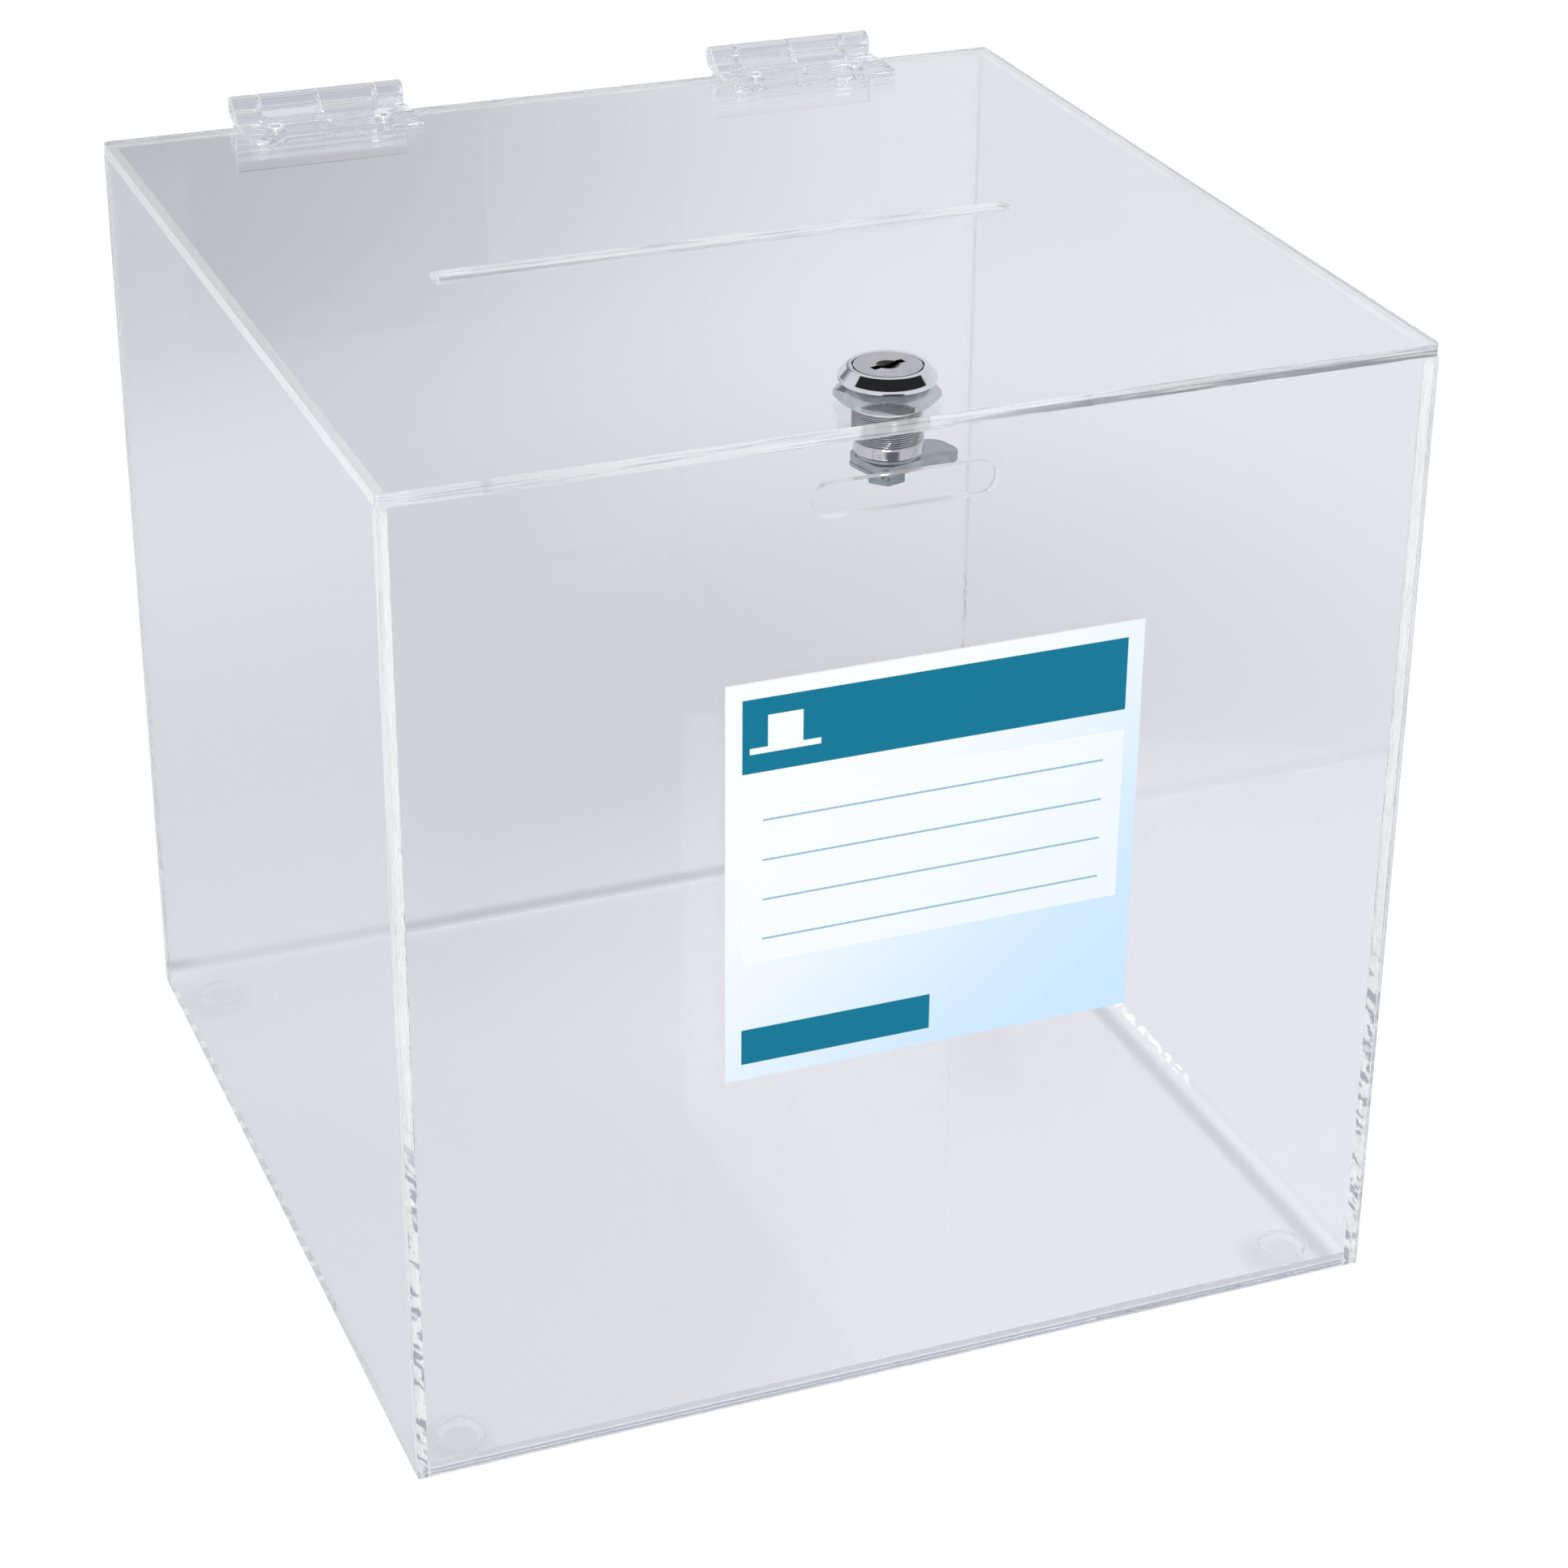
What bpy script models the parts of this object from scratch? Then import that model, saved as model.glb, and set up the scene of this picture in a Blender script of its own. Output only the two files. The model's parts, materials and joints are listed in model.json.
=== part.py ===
# Clear acrylic drop box with a hinged lid, a paper slot, a cam lock and four feet.
# Metres, +Z up, front at -Y. Sizes below are written in the case's own frame: x = 0 and y = 0 at
# the middle of the case, z = 0 at the underside of the base sheet.
import math

import bmesh
import bpy
from mathutils import Matrix, Vector

# Case sheets
CASE_WIDTH = 0.250
CASE_DEPTH = 0.250
CASE_HEIGHT = 0.250
SHEET = 0.003
SEAT_GAP = 0.0003
EDGE_BREAK = 0.0002
LID_CORNER_RADIUS = 0.0012

# Openings in the sheets
PAPER_SLOT_LENGTH = 0.150
PAPER_SLOT_WIDTH = 0.005
PAPER_SLOT_BACK = 0.127
PAPER_SLOT_X = -0.001
CAM_SLOT_LENGTH = 0.0434
CAM_SLOT_HEIGHT = 0.0078
CAM_SLOT_DROP = 0.0165

# Hinges
HINGE_LENGTH = 0.046
HINGE_INSET = 0.058
LEAF_THICKNESS = 0.0018
LID_LEAF_REACH = 0.0215
BACK_LEAF_REACH = 0.0185
KNUCKLE_RADIUS = 0.0029
KNUCKLE_RISE = 0.0042
KNUCKLE_SETBACK = 0.0036
KNUCKLE_GAP = 0.0004
KNUCKLE_SHARES = (0.16, 0.34, 0.34, 0.16)
LEAF_END_GAP = 0.0003
LEAF_ROOT = 0.0030
PIN_RADIUS = 0.00125
PIN_CLEARANCE = 0.0003
RIB_HEIGHT = 0.0002
RIB_WIDTH = 0.0006
RIB_PITCH = 0.0018
LEAF_HOLE_RADIUS = 0.0017
LEAF_HOLE_SPACING = 0.029

# Cam lock: heights are measured up or down from the lid's faces
LOCK_X = -0.006
LOCK_SETBACK = 0.012
HEAD_RADIUS = 0.0109
HEAD_TOP_RADIUS = 0.0090
HEAD_RIM = 0.0010
HEAD_CHAMFER = 0.0022
RECESS_RADIUS = 0.0079
RECESS_DEPTH = 0.0017
THREAD_RADIUS = 0.0078
THREAD_DEPTH = 0.0005
THREAD_PITCH = 0.001
THREAD_RELIEF = 0.0023
BODY_DROP = 0.008
HOLE_CLEARANCE = 0.0003
NUT_ACROSS_FLATS = 0.0208
NUT_THICKNESS = 0.0044
NUT_CHAMFER = 0.0007
NUT_TURN = math.radians(-22)
PLUG_DISC_THICKNESS = 0.0014
PLUG_RADIUS = 0.0055
KEYHOLE_DISH_RADIUS = 0.0026
KEYHOLE_DISH_DEPTH = 0.0008
KEYWAY_LENGTH = 0.0086
KEYWAY_WIDTH = 0.0018
KEYWAY_DEPTH = 0.0125
WAFER_COUNT = 4
WAFER_THICKNESS = 0.0007
WAFER_WIDTH = 0.0056
WAFER_LENGTH = 0.0098
WAFER_PITCH = 0.0024
WAFER_FIRST = 0.0032
WAFER_FRAME = 0.0011
CLIP_RADIUS = 0.0072
CLIP_THICKNESS = 0.0006
CLIP_MOUTH = math.radians(70)
TAIL_WIDTH = 0.0066
TAIL_EXTRA = 0.0002
SCREW_RADIUS = 0.0015
SCREW_DEPTH = 0.0080
SCREW_HEAD_ACROSS = 0.0080
SCREW_HEAD_HEIGHT = 0.0030
WASHER_WIDTH = 0.0130
WASHER_FRONT = 0.0043
WASHER_CORNER = 0.0016
WASHER_THICKNESS = 0.0010

# Cam: d runs along its arm from the lock's axis, s to the arm's offset side
CAM_THICKNESS = 0.0018
CAM_CRANK = 0.0028
CAM_ROOT_HALF = 0.0068
CAM_ROOT_FRONT = 0.0050
CAM_ROOT_CORNER = 0.0010
CAM_ROOT_BACK_CORNER = 0.0030
CAM_CRANK_START = 0.0046
CAM_CRANK_END = 0.0080
CAM_ARM_NEAR = 0.0040
CAM_CRANK_FAR = 0.0055
CAM_ARM_FAR = 0.0079
CAM_ARM_CORNER = 0.0046
CAM_SHOULDER_CORNER = 0.0014
CAM_REACH = 0.0190
CAM_REST_TURN = math.radians(15)

# Feet
FOOT_INSET = 0.0145
FOOT_RADIUS = 0.0060
FOOT_PAD_RADIUS = 0.0040
FOOT_HEIGHT = 0.0040
FOOT_BAND = 0.0008

# Printed card on the front panel
CARD_WIDTH = 0.102
CARD_HEIGHT = 0.101
CARD_THICKNESS = 0.0005
CARD_X = 0.0025
CARD_Z = 0.143

# Facet counts and shared small values
ROUND_STEPS = 48
SMALL_STEPS = 24
CORNER_STEPS = 6
OVERRUN = 0.001
MERGE_DISTANCE = 0.00001
SHARP_ANGLE = math.radians(35)

# Places worked out from the sizes
FRONT_FACE = -CASE_DEPTH / 2
BACK_FACE = CASE_DEPTH / 2
LID_TOP = CASE_HEIGHT
LID_UNDERSIDE = LID_TOP - SHEET
WALL_HEIGHT = LID_UNDERSIDE - SEAT_GAP
INSIDE_WIDTH = CASE_WIDTH - 2 * (SHEET + SEAT_GAP)
INSIDE_DEPTH = CASE_DEPTH - 2 * (SHEET + SEAT_GAP)
HINGE_Y = BACK_FACE + KNUCKLE_SETBACK
HINGE_Z = LID_TOP + KNUCKLE_RISE
LOCK_Y = FRONT_FACE + LOCK_SETBACK
NUT_BOTTOM = LID_TOP + SEAT_GAP
HEAD_BOTTOM = NUT_BOTTOM + NUT_THICKNESS + SEAT_GAP
HEAD_TOP = HEAD_BOTTOM + HEAD_RIM + HEAD_CHAMFER
BODY_BOTTOM = LID_UNDERSIDE - BODY_DROP
CLIP_TOP = BODY_BOTTOM - SEAT_GAP
CAM_TOP = CLIP_TOP - CLIP_THICKNESS - SEAT_GAP
CAM_BOTTOM = CAM_TOP - CAM_THICKNESS
TAIL_BOTTOM = CAM_BOTTOM + TAIL_EXTRA
WASHER_TOP = CAM_BOTTOM - SEAT_GAP
SCREW_HEAD_TOP = WASHER_TOP - WASHER_THICKNESS - SEAT_GAP
CARD_FACE = FRONT_FACE - SEAT_GAP - CARD_THICKNESS
PART_BACK = HINGE_Y + KNUCKLE_RADIUS
ORIGIN_Y = (CARD_FACE + PART_BACK) / 2
ORIGIN_Z = -(SEAT_GAP + FOOT_HEIGHT)


def clear_scene():
    for old in list(bpy.data.objects):
        bpy.data.objects.remove(old)


def make_collection(name):
    group = bpy.data.collections.new(name)
    bpy.context.scene.collection.children.link(group)
    return group


def make_material(name, color, roughness, metallic=0.0, transmission=0.0):
    material = bpy.data.materials.new(name)
    material.use_nodes = True
    shader = material.node_tree.nodes["Principled BSDF"]
    shader.inputs["Base Color"].default_value = (*color, 1.0)
    shader.inputs["Roughness"].default_value = roughness
    shader.inputs["Metallic"].default_value = metallic
    shader.inputs["Transmission Weight"].default_value = transmission
    return material


def make_empty(name, location, parent=None):
    empty = bpy.data.objects.new(name, None)
    empty.location = location
    empty.parent = parent
    PARTS.objects.link(empty)
    return empty


def add_object(name, mesh, material, group=None):
    obj = bpy.data.objects.new(name, mesh)
    (group or PARTS).objects.link(obj)
    if material:
        mesh.materials.append(material)
    return obj


def hang(obj, carrier, carrier_place, place):
    """Parents a piece to an empty and puts the piece's own origin at a place of the case frame."""
    obj.parent = carrier
    obj.location = Vector(place) - Vector(carrier_place)


def smooth(mesh):
    mesh.shade_smooth()
    mesh.set_sharp_from_angle(angle=SHARP_ANGLE)


def rounded_outline(corners, steps=CORNER_STEPS):
    """Points of a closed outline, counter-clockwise; each corner is (x, y, fillet radius)."""
    points = []
    for index, (x, y, radius) in enumerate(corners):
        here = Vector((x, y))
        before = Vector(corners[index - 1][:2])
        after = Vector(corners[(index + 1) % len(corners)][:2])
        if not radius:
            points.append(here)
            continue
        to_before = (before - here).normalized()
        to_after = (after - here).normalized()
        half = to_before.angle(to_after) / 2
        bisector = (to_before + to_after).normalized()
        centre = here + bisector * (radius / math.sin(half))
        start = here + to_before * (radius / math.tan(half)) - centre
        end = here + to_after * (radius / math.tan(half)) - centre
        sweep = start.angle_signed(end)
        for step in range(steps + 1):
            turn = Matrix.Rotation(-sweep * step / steps, 2)
            points.append(centre + turn @ start)
    return points


def rectangle(width, height, radius=0.0, centre=(0.0, 0.0)):
    x, y = centre
    dx, dy = width / 2, height / 2
    return rounded_outline([(x - dx, y - dy, radius), (x + dx, y - dy, radius),
                            (x + dx, y + dy, radius), (x - dx, y + dy, radius)])


def ring(radius, steps, centre=(0.0, 0.0), start=0.0, sweep=2 * math.pi):
    """Points along a circle; a part circle includes both of its ends."""
    closed = abs(sweep - 2 * math.pi) < MERGE_DISTANCE
    count = steps if closed else steps + 1
    return [Vector((centre[0] + radius * math.cos(start + sweep * i / steps),
                    centre[1] + radius * math.sin(start + sweep * i / steps))) for i in range(count)]


def stadium(length, height, centre):
    """A slot outline with half-round ends."""
    x, y = centre
    half = length / 2 - height / 2
    right = ring(height / 2, SMALL_STEPS // 2, (x + half, y), -math.pi / 2, math.pi)
    left = ring(height / 2, SMALL_STEPS // 2, (x - half, y), math.pi / 2, math.pi)
    return right + left


def prism(name, outlines, thickness, material, group=None):
    """A flat piece: filled outlines, the later ones as holes, centred on its own XY plane."""
    curve = bpy.data.curves.new(name + "_outline", "CURVE")
    curve.dimensions = "2D"
    curve.fill_mode = "BOTH"
    curve.extrude = thickness / 2
    for outline in outlines:
        spline = curve.splines.new("POLY")
        spline.points.add(len(outline) - 1)
        for point, place in zip(spline.points, outline):
            point.co = (place[0], place[1], 0.0, 1.0)
        spline.use_cyclic_u = True
    source = bpy.data.objects.new(name + "_outline", curve)
    bpy.context.scene.collection.objects.link(source)
    bpy.context.view_layer.update()
    mesh = bpy.data.meshes.new_from_object(source.evaluated_get(bpy.context.evaluated_depsgraph_get()))
    bpy.data.objects.remove(source)
    shape = bmesh.new()
    shape.from_mesh(mesh)
    bmesh.ops.remove_doubles(shape, verts=shape.verts, dist=MERGE_DISTANCE)
    bmesh.ops.recalc_face_normals(shape, faces=shape.faces)
    shape.to_mesh(mesh)
    shape.free()
    mesh.materials.clear()
    return add_object(name, mesh, material, group)


def turned(name, profile, material, closed=False, steps=ROUND_STEPS, group=None):
    """A turned piece about Z; the profile's points are (radius, height), outer side downwards."""
    mesh = bpy.data.meshes.new(name)
    edges = [(i, i + 1) for i in range(len(profile) - 1)]
    if closed:
        edges.append((len(profile) - 1, 0))
    mesh.from_pydata([(radius, 0.0, height) for radius, height in profile], edges, [])
    obj = add_object(name, mesh, material, group)
    screw = obj.modifiers.new("turn", "SCREW")
    screw.steps = steps
    screw.render_steps = steps
    screw.use_merge_vertices = True
    screw.merge_threshold = MERGE_DISTANCE
    screw.use_smooth_shade = True
    return obj


def block(name, size, material, group=None):
    bpy.ops.mesh.primitive_cube_add(size=1.0)
    obj = bpy.context.active_object
    obj.name = name
    obj.data.name = name
    obj.data.transform(Matrix.Diagonal((*size, 1.0)))
    for old in list(obj.users_collection):
        old.objects.unlink(obj)
    (group or PARTS).objects.link(obj)
    if material:
        obj.data.materials.append(material)
    return obj


def cylinder(name, radius, depth, material, steps=SMALL_STEPS, group=None):
    mesh = bpy.data.meshes.new(name)
    shape = bmesh.new()
    bmesh.ops.create_cone(shape, cap_ends=True, segments=steps, radius1=radius, radius2=radius, depth=depth)
    shape.to_mesh(mesh)
    shape.free()
    smooth(mesh)
    return add_object(name, mesh, material, group)


def break_edges(obj, width=EDGE_BREAK):
    bevel = obj.modifiers.new("broken edges", "BEVEL")
    bevel.width = width
    bevel.segments = 1
    bevel.limit_method = "ANGLE"
    bevel.angle_limit = SHARP_ANGLE


def hide_tool(obj):
    obj.hide_render = True
    obj.display_type = "WIRE"


def combine(obj, tool, operation):
    hide_tool(tool)
    tool.parent = obj
    boolean = obj.modifiers.new(operation.lower() + " " + tool.name, "BOOLEAN")
    boolean.operation = operation
    boolean.solver = "EXACT"
    boolean.object = tool
    return obj


def turn_mesh(obj, matrix):
    obj.data.transform(matrix)
    if matrix.determinant() < 0:
        obj.data.flip_normals()
    return obj


# From an outline drawn in (y, z) to a prism whose thickness runs along X
SIDE_ON = Matrix(((0, 0, 1, 0), (1, 0, 0, 0), (0, 1, 0, 0), (0, 0, 0, 1)))
# From an outline drawn in (x, z) to a prism whose thickness runs along Y
FACE_ON = Matrix(((1, 0, 0, 0), (0, 0, -1, 0), (0, 1, 0, 0), (0, 0, 0, 1)))


def build_sheets():
    wall_middle = WALL_HEIGHT / 2

    base = prism("base_panel", [rectangle(INSIDE_WIDTH, INSIDE_DEPTH)], SHEET, ACRYLIC)
    hang(base, CASE, CASE_PLACE, (0, 0, SHEET / 2))

    slot_z = LID_TOP - CAM_SLOT_DROP - wall_middle
    slot = stadium(CAM_SLOT_LENGTH, CAM_SLOT_HEIGHT, (LOCK_X, slot_z))
    front = prism("front_panel", [rectangle(CASE_WIDTH, WALL_HEIGHT), slot], SHEET, ACRYLIC)
    turn_mesh(front, FACE_ON)
    hang(front, CASE, CASE_PLACE, (0, FRONT_FACE + SHEET / 2, wall_middle))

    back = prism("back_panel", [rectangle(CASE_WIDTH, WALL_HEIGHT)], SHEET, ACRYLIC)
    turn_mesh(back, FACE_ON)
    hang(back, CASE, CASE_PLACE, (0, BACK_FACE - SHEET / 2, wall_middle))

    for name, side in (("left_panel", -1), ("right_panel", 1)):
        wall = prism(name, [rectangle(INSIDE_DEPTH, WALL_HEIGHT)], SHEET, ACRYLIC)
        turn_mesh(wall, SIDE_ON)
        hang(wall, CASE, CASE_PLACE, (side * (CASE_WIDTH / 2 - SHEET / 2), 0, wall_middle))
        break_edges(wall)
    for sheet in (base, front, back):
        break_edges(sheet)


def build_lid():
    paper_slot = stadium(PAPER_SLOT_LENGTH, PAPER_SLOT_WIDTH, (PAPER_SLOT_X, BACK_FACE - PAPER_SLOT_BACK))
    lock_hole = ring(THREAD_RADIUS + HOLE_CLEARANCE, ROUND_STEPS, (LOCK_X, LOCK_Y))
    outline = rectangle(CASE_WIDTH, CASE_DEPTH, LID_CORNER_RADIUS)
    lid = prism("lid_panel", [outline, paper_slot, lock_hole], SHEET, ACRYLIC)
    turn_mesh(lid, Matrix.Translation((0, -HINGE_Y, LID_TOP - SHEET / 2 - HINGE_Z)))
    hang(lid, LID, LID_PLACE, LID_PLACE)
    break_edges(lid)


def knuckle_spans():
    """Start and end of each knuckle along the hinge, with the running gaps taken off."""
    spans = []
    start = -HINGE_LENGTH / 2
    for share in KNUCKLE_SHARES:
        end = start + share * HINGE_LENGTH
        low = start if not spans else start + KNUCKLE_GAP / 2
        high = HINGE_LENGTH / 2 if len(spans) == len(KNUCKLE_SHARES) - 1 else end - KNUCKLE_GAP / 2
        spans.append((low, high))
        start = end
    return spans


def leaf_plate_outline(inner_end, outer_end, seat):
    """Section of a leaf across the hinge: flat on its seat, fine ribs on its outer face."""
    top = seat + LEAF_THICKNESS
    outline = [(outer_end, seat), (inner_end, seat), (inner_end, top)]
    run = inner_end - outer_end
    count = int((run - 2 * RIB_PITCH) / RIB_PITCH)
    margin = (run - (count - 1) * RIB_PITCH - RIB_WIDTH) / 2
    for index in reversed(range(count)):
        low = outer_end + margin + index * RIB_PITCH
        outline += [(low + RIB_WIDTH, top), (low + RIB_WIDTH / 2, top + RIB_HEIGHT), (low, top)]
    outline.append((outer_end, top))
    return outline


def knuckle_outline(root, seat, arm_end):
    """Section of a knuckle and its arm: the arm leaves the plate and meets the barrel at a tangent."""
    top = seat + LEAF_THICKNESS
    corner = Vector((arm_end, seat))
    reach = corner.length
    lower = math.atan2(corner.y, corner.x) + math.acos(KNUCKLE_RADIUS / reach)
    inner = Vector((root, top))
    upper = math.atan2(inner.y, inner.x) - math.acos(KNUCKLE_RADIUS / inner.length)
    sweep = (upper - lower) % (2 * math.pi)
    barrel = ring(KNUCKLE_RADIUS, SMALL_STEPS, (0, 0), lower, sweep)
    return [(root, seat), (arm_end, seat)] + [tuple(p) for p in barrel] + [(root, top)]


def build_leaf(name, own, seat, inner_end, reach, carrier, place, turn):
    """A hinge leaf drawn about the pin's axis: the plate lies along -Y at the height of its seat."""
    outer_end = -reach
    root = inner_end - LEAF_ROOT
    plate = prism(name, [leaf_plate_outline(inner_end, outer_end, seat)], HINGE_LENGTH, CLEAR_PLASTIC)
    turn_mesh(plate, turn @ SIDE_ON)
    bore = ring(PIN_RADIUS + PIN_CLEARANCE, SMALL_STEPS)
    for index in own:
        low, high = knuckle_spans()[index]
        tool = prism(f"{name}_knuckle_{index}", [knuckle_outline(root, seat, inner_end), bore],
                     high - low, None, CUTTERS)
        turn_mesh(tool, turn @ Matrix.Translation(((low + high) / 2, 0, 0)) @ SIDE_ON)
        combine(plate, tool, "UNION")
    middle = (outer_end + inner_end) / 2
    for number, shift in enumerate((-LEAF_HOLE_SPACING / 2, LEAF_HOLE_SPACING / 2)):
        hole = cylinder(f"{name}_hole_{number}", LEAF_HOLE_RADIUS, LEAF_THICKNESS + 2 * OVERRUN, None,
                        SMALL_STEPS, CUTTERS)
        turn_mesh(hole, turn @ Matrix.Translation((shift, middle, seat + LEAF_THICKNESS / 2)))
        combine(plate, hole, "DIFFERENCE")
    hang(plate, carrier, LID_PLACE if carrier == LID else CASE_PLACE, place)


def build_hinges():
    lid_seat = SEAT_GAP - KNUCKLE_RISE
    lid_inner = -(KNUCKLE_SETBACK + LEAF_END_GAP)
    back_seat = SEAT_GAP - KNUCKLE_SETBACK
    back_inner = -KNUCKLE_RISE
    # The back leaf is the same section turned down and mirrored, so its seat faces the back panel
    fold = Matrix(((1, 0, 0, 0), (0, 0, 1, 0), (0, 1, 0, 0), (0, 0, 0, 1)))
    for side_name, side in (("left", -1), ("right", 1)):
        place = (side * (CASE_WIDTH / 2 - HINGE_INSET), HINGE_Y, HINGE_Z)
        build_leaf(f"{side_name}_hinge_lid_leaf", (0, 2), lid_seat, lid_inner,
                   LID_LEAF_REACH, LID, place, Matrix.Identity(4))
        build_leaf(f"{side_name}_hinge_back_leaf", (1, 3), back_seat, back_inner,
                   BACK_LEAF_REACH, CASE, place, fold)
        pin = cylinder(f"{side_name}_hinge_pin", PIN_RADIUS, HINGE_LENGTH, CLEAR_PLASTIC)
        turn_mesh(pin, Matrix.Rotation(math.pi / 2, 4, "Y"))
        hang(pin, CASE, CASE_PLACE, place)


def build_housing():
    """Head and threaded body as one turned piece with a stepped bore."""
    top = HEAD_TOP - LID_TOP
    head_bottom = HEAD_BOTTOM - LID_TOP
    bottom = BODY_BOTTOM - LID_TOP
    root_radius = THREAD_RADIUS - THREAD_DEPTH
    bore = PLUG_RADIUS + HOLE_CLEARANCE
    profile = [(HEAD_TOP_RADIUS, top), (HEAD_RADIUS, top - HEAD_CHAMFER), (HEAD_RADIUS, head_bottom),
               (root_radius, head_bottom)]
    turns = int((head_bottom - bottom - THREAD_RELIEF) / THREAD_PITCH)
    for index in range(turns):
        height = head_bottom - index * THREAD_PITCH
        profile += [(THREAD_RADIUS, height - THREAD_PITCH / 2), (root_radius, height - THREAD_PITCH)]
    relief = head_bottom - turns * THREAD_PITCH
    profile += [(THREAD_RADIUS, relief - THREAD_DEPTH), (THREAD_RADIUS, bottom), (bore, bottom),
                (bore, top - RECESS_DEPTH), (RECESS_RADIUS, top - RECESS_DEPTH), (RECESS_RADIUS, top)]
    housing = turned("lock_housing", profile, CHROME, closed=True)
    hang(housing, LID, LID_PLACE, (LOCK_X, LOCK_Y, LID_TOP))


def build_nut():
    corner = NUT_ACROSS_FLATS / 2 / math.cos(math.pi / 6)
    hexagon = ring(corner, 6, start=NUT_TURN)
    bore = ring(THREAD_RADIUS + HOLE_CLEARANCE, ROUND_STEPS)
    nut = prism("lock_nut", [hexagon, bore], NUT_THICKNESS, ZINC)
    half = NUT_THICKNESS / 2
    flat = NUT_ACROSS_FLATS / 2
    rim = corner + OVERRUN
    slope = (rim - flat) * NUT_CHAMFER / (corner - flat)
    chamfers = turned("nut_chamfers", [(0, half), (flat, half), (rim, half - slope), (rim, slope - half),
                                       (flat, -half), (0, -half)], None, group=CUTTERS)
    combine(nut, chamfers, "INTERSECT")
    hang(nut, LID, LID_PLACE, (LOCK_X, LOCK_Y, NUT_BOTTOM + NUT_THICKNESS / 2))


def build_plug():
    """Disc, core and square tail, with the keyway, the wafer slots and the screw's hole cut in."""
    top = HEAD_TOP - LID_TOP
    under_disc = top - PLUG_DISC_THICKNESS
    bottom = BODY_BOTTOM - LID_TOP
    tail_bottom = TAIL_BOTTOM - LID_TOP
    disc = RECESS_RADIUS - HOLE_CLEARANCE
    rim = KEYHOLE_DISH_RADIUS
    profile = [(0, top - KEYHOLE_DISH_DEPTH), (rim, top), (disc, top), (disc, under_disc),
               (PLUG_RADIUS, under_disc), (PLUG_RADIUS, bottom), (0, bottom)]
    plug = turned("lock_plug", profile, SATIN)
    tail_length = bottom - tail_bottom + OVERRUN
    tail = block("plug_tail", (TAIL_WIDTH, TAIL_WIDTH, tail_length), None, CUTTERS)
    turn_mesh(tail, Matrix.Translation((0, 0, tail_bottom + tail_length / 2)))
    combine(plug, tail, "UNION")
    keyway_height = KEYWAY_DEPTH + OVERRUN
    keyway = block("plug_keyway", (KEYWAY_LENGTH, KEYWAY_WIDTH, keyway_height), None, CUTTERS)
    turn_mesh(keyway, Matrix.Translation((0, 0, top - KEYWAY_DEPTH + keyway_height / 2)))
    combine(plug, keyway, "DIFFERENCE")
    for index in range(WAFER_COUNT):
        slot = block(f"wafer_slot_{index + 1}",
                     (2 * PLUG_RADIUS + 2 * OVERRUN, WAFER_WIDTH + 2 * SEAT_GAP,
                      WAFER_THICKNESS + 2 * SEAT_GAP), None, CUTTERS)
        turn_mesh(slot, Matrix.Translation((0, 0, wafer_height(index))))
        combine(plug, slot, "DIFFERENCE")
    hole_depth = SCREW_DEPTH + SEAT_GAP
    hole = cylinder("plug_screw_hole", SCREW_RADIUS + HOLE_CLEARANCE, hole_depth + OVERRUN, None,
                    SMALL_STEPS, CUTTERS)
    turn_mesh(hole, Matrix.Translation((0, 0, tail_bottom + (hole_depth - OVERRUN) / 2)))
    combine(plug, hole, "DIFFERENCE")
    hang(plug, PLUG, PLUG_PLACE, (LOCK_X, LOCK_Y, LID_TOP))


def wafer_height(index):
    """Middle of a wafer, from the lid's top face."""
    return HEAD_TOP - LID_TOP - PLUG_DISC_THICKNESS - WAFER_FIRST - index * WAFER_PITCH


def build_wafers():
    for index in range(WAFER_COUNT):
        window = rectangle(WAFER_LENGTH - 2 * WAFER_FRAME, WAFER_WIDTH - 2 * WAFER_FRAME)
        wafer = prism(f"wafer_{index + 1}", [rectangle(WAFER_LENGTH, WAFER_WIDTH), window],
                      WAFER_THICKNESS, BRASS)
        hang(wafer, PLUG, PLUG_PLACE, (LOCK_X, LOCK_Y, LID_TOP + wafer_height(index)))


def build_clip():
    """Open retaining ring round the plug's square tail."""
    inner = TAIL_WIDTH / math.sqrt(2) + SEAT_GAP
    start = CLIP_MOUTH / 2
    sweep = 2 * math.pi - CLIP_MOUTH
    outer_arc = ring(CLIP_RADIUS, SMALL_STEPS, start=start, sweep=sweep)
    inner_arc = ring(inner, SMALL_STEPS, start=start, sweep=sweep)
    clip = prism("plug_clip", [outer_arc + inner_arc[::-1]], CLIP_THICKNESS, ZINC)
    hang(clip, PLUG, PLUG_PLACE, (LOCK_X, LOCK_Y, CLIP_TOP - CLIP_THICKNESS / 2))


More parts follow.
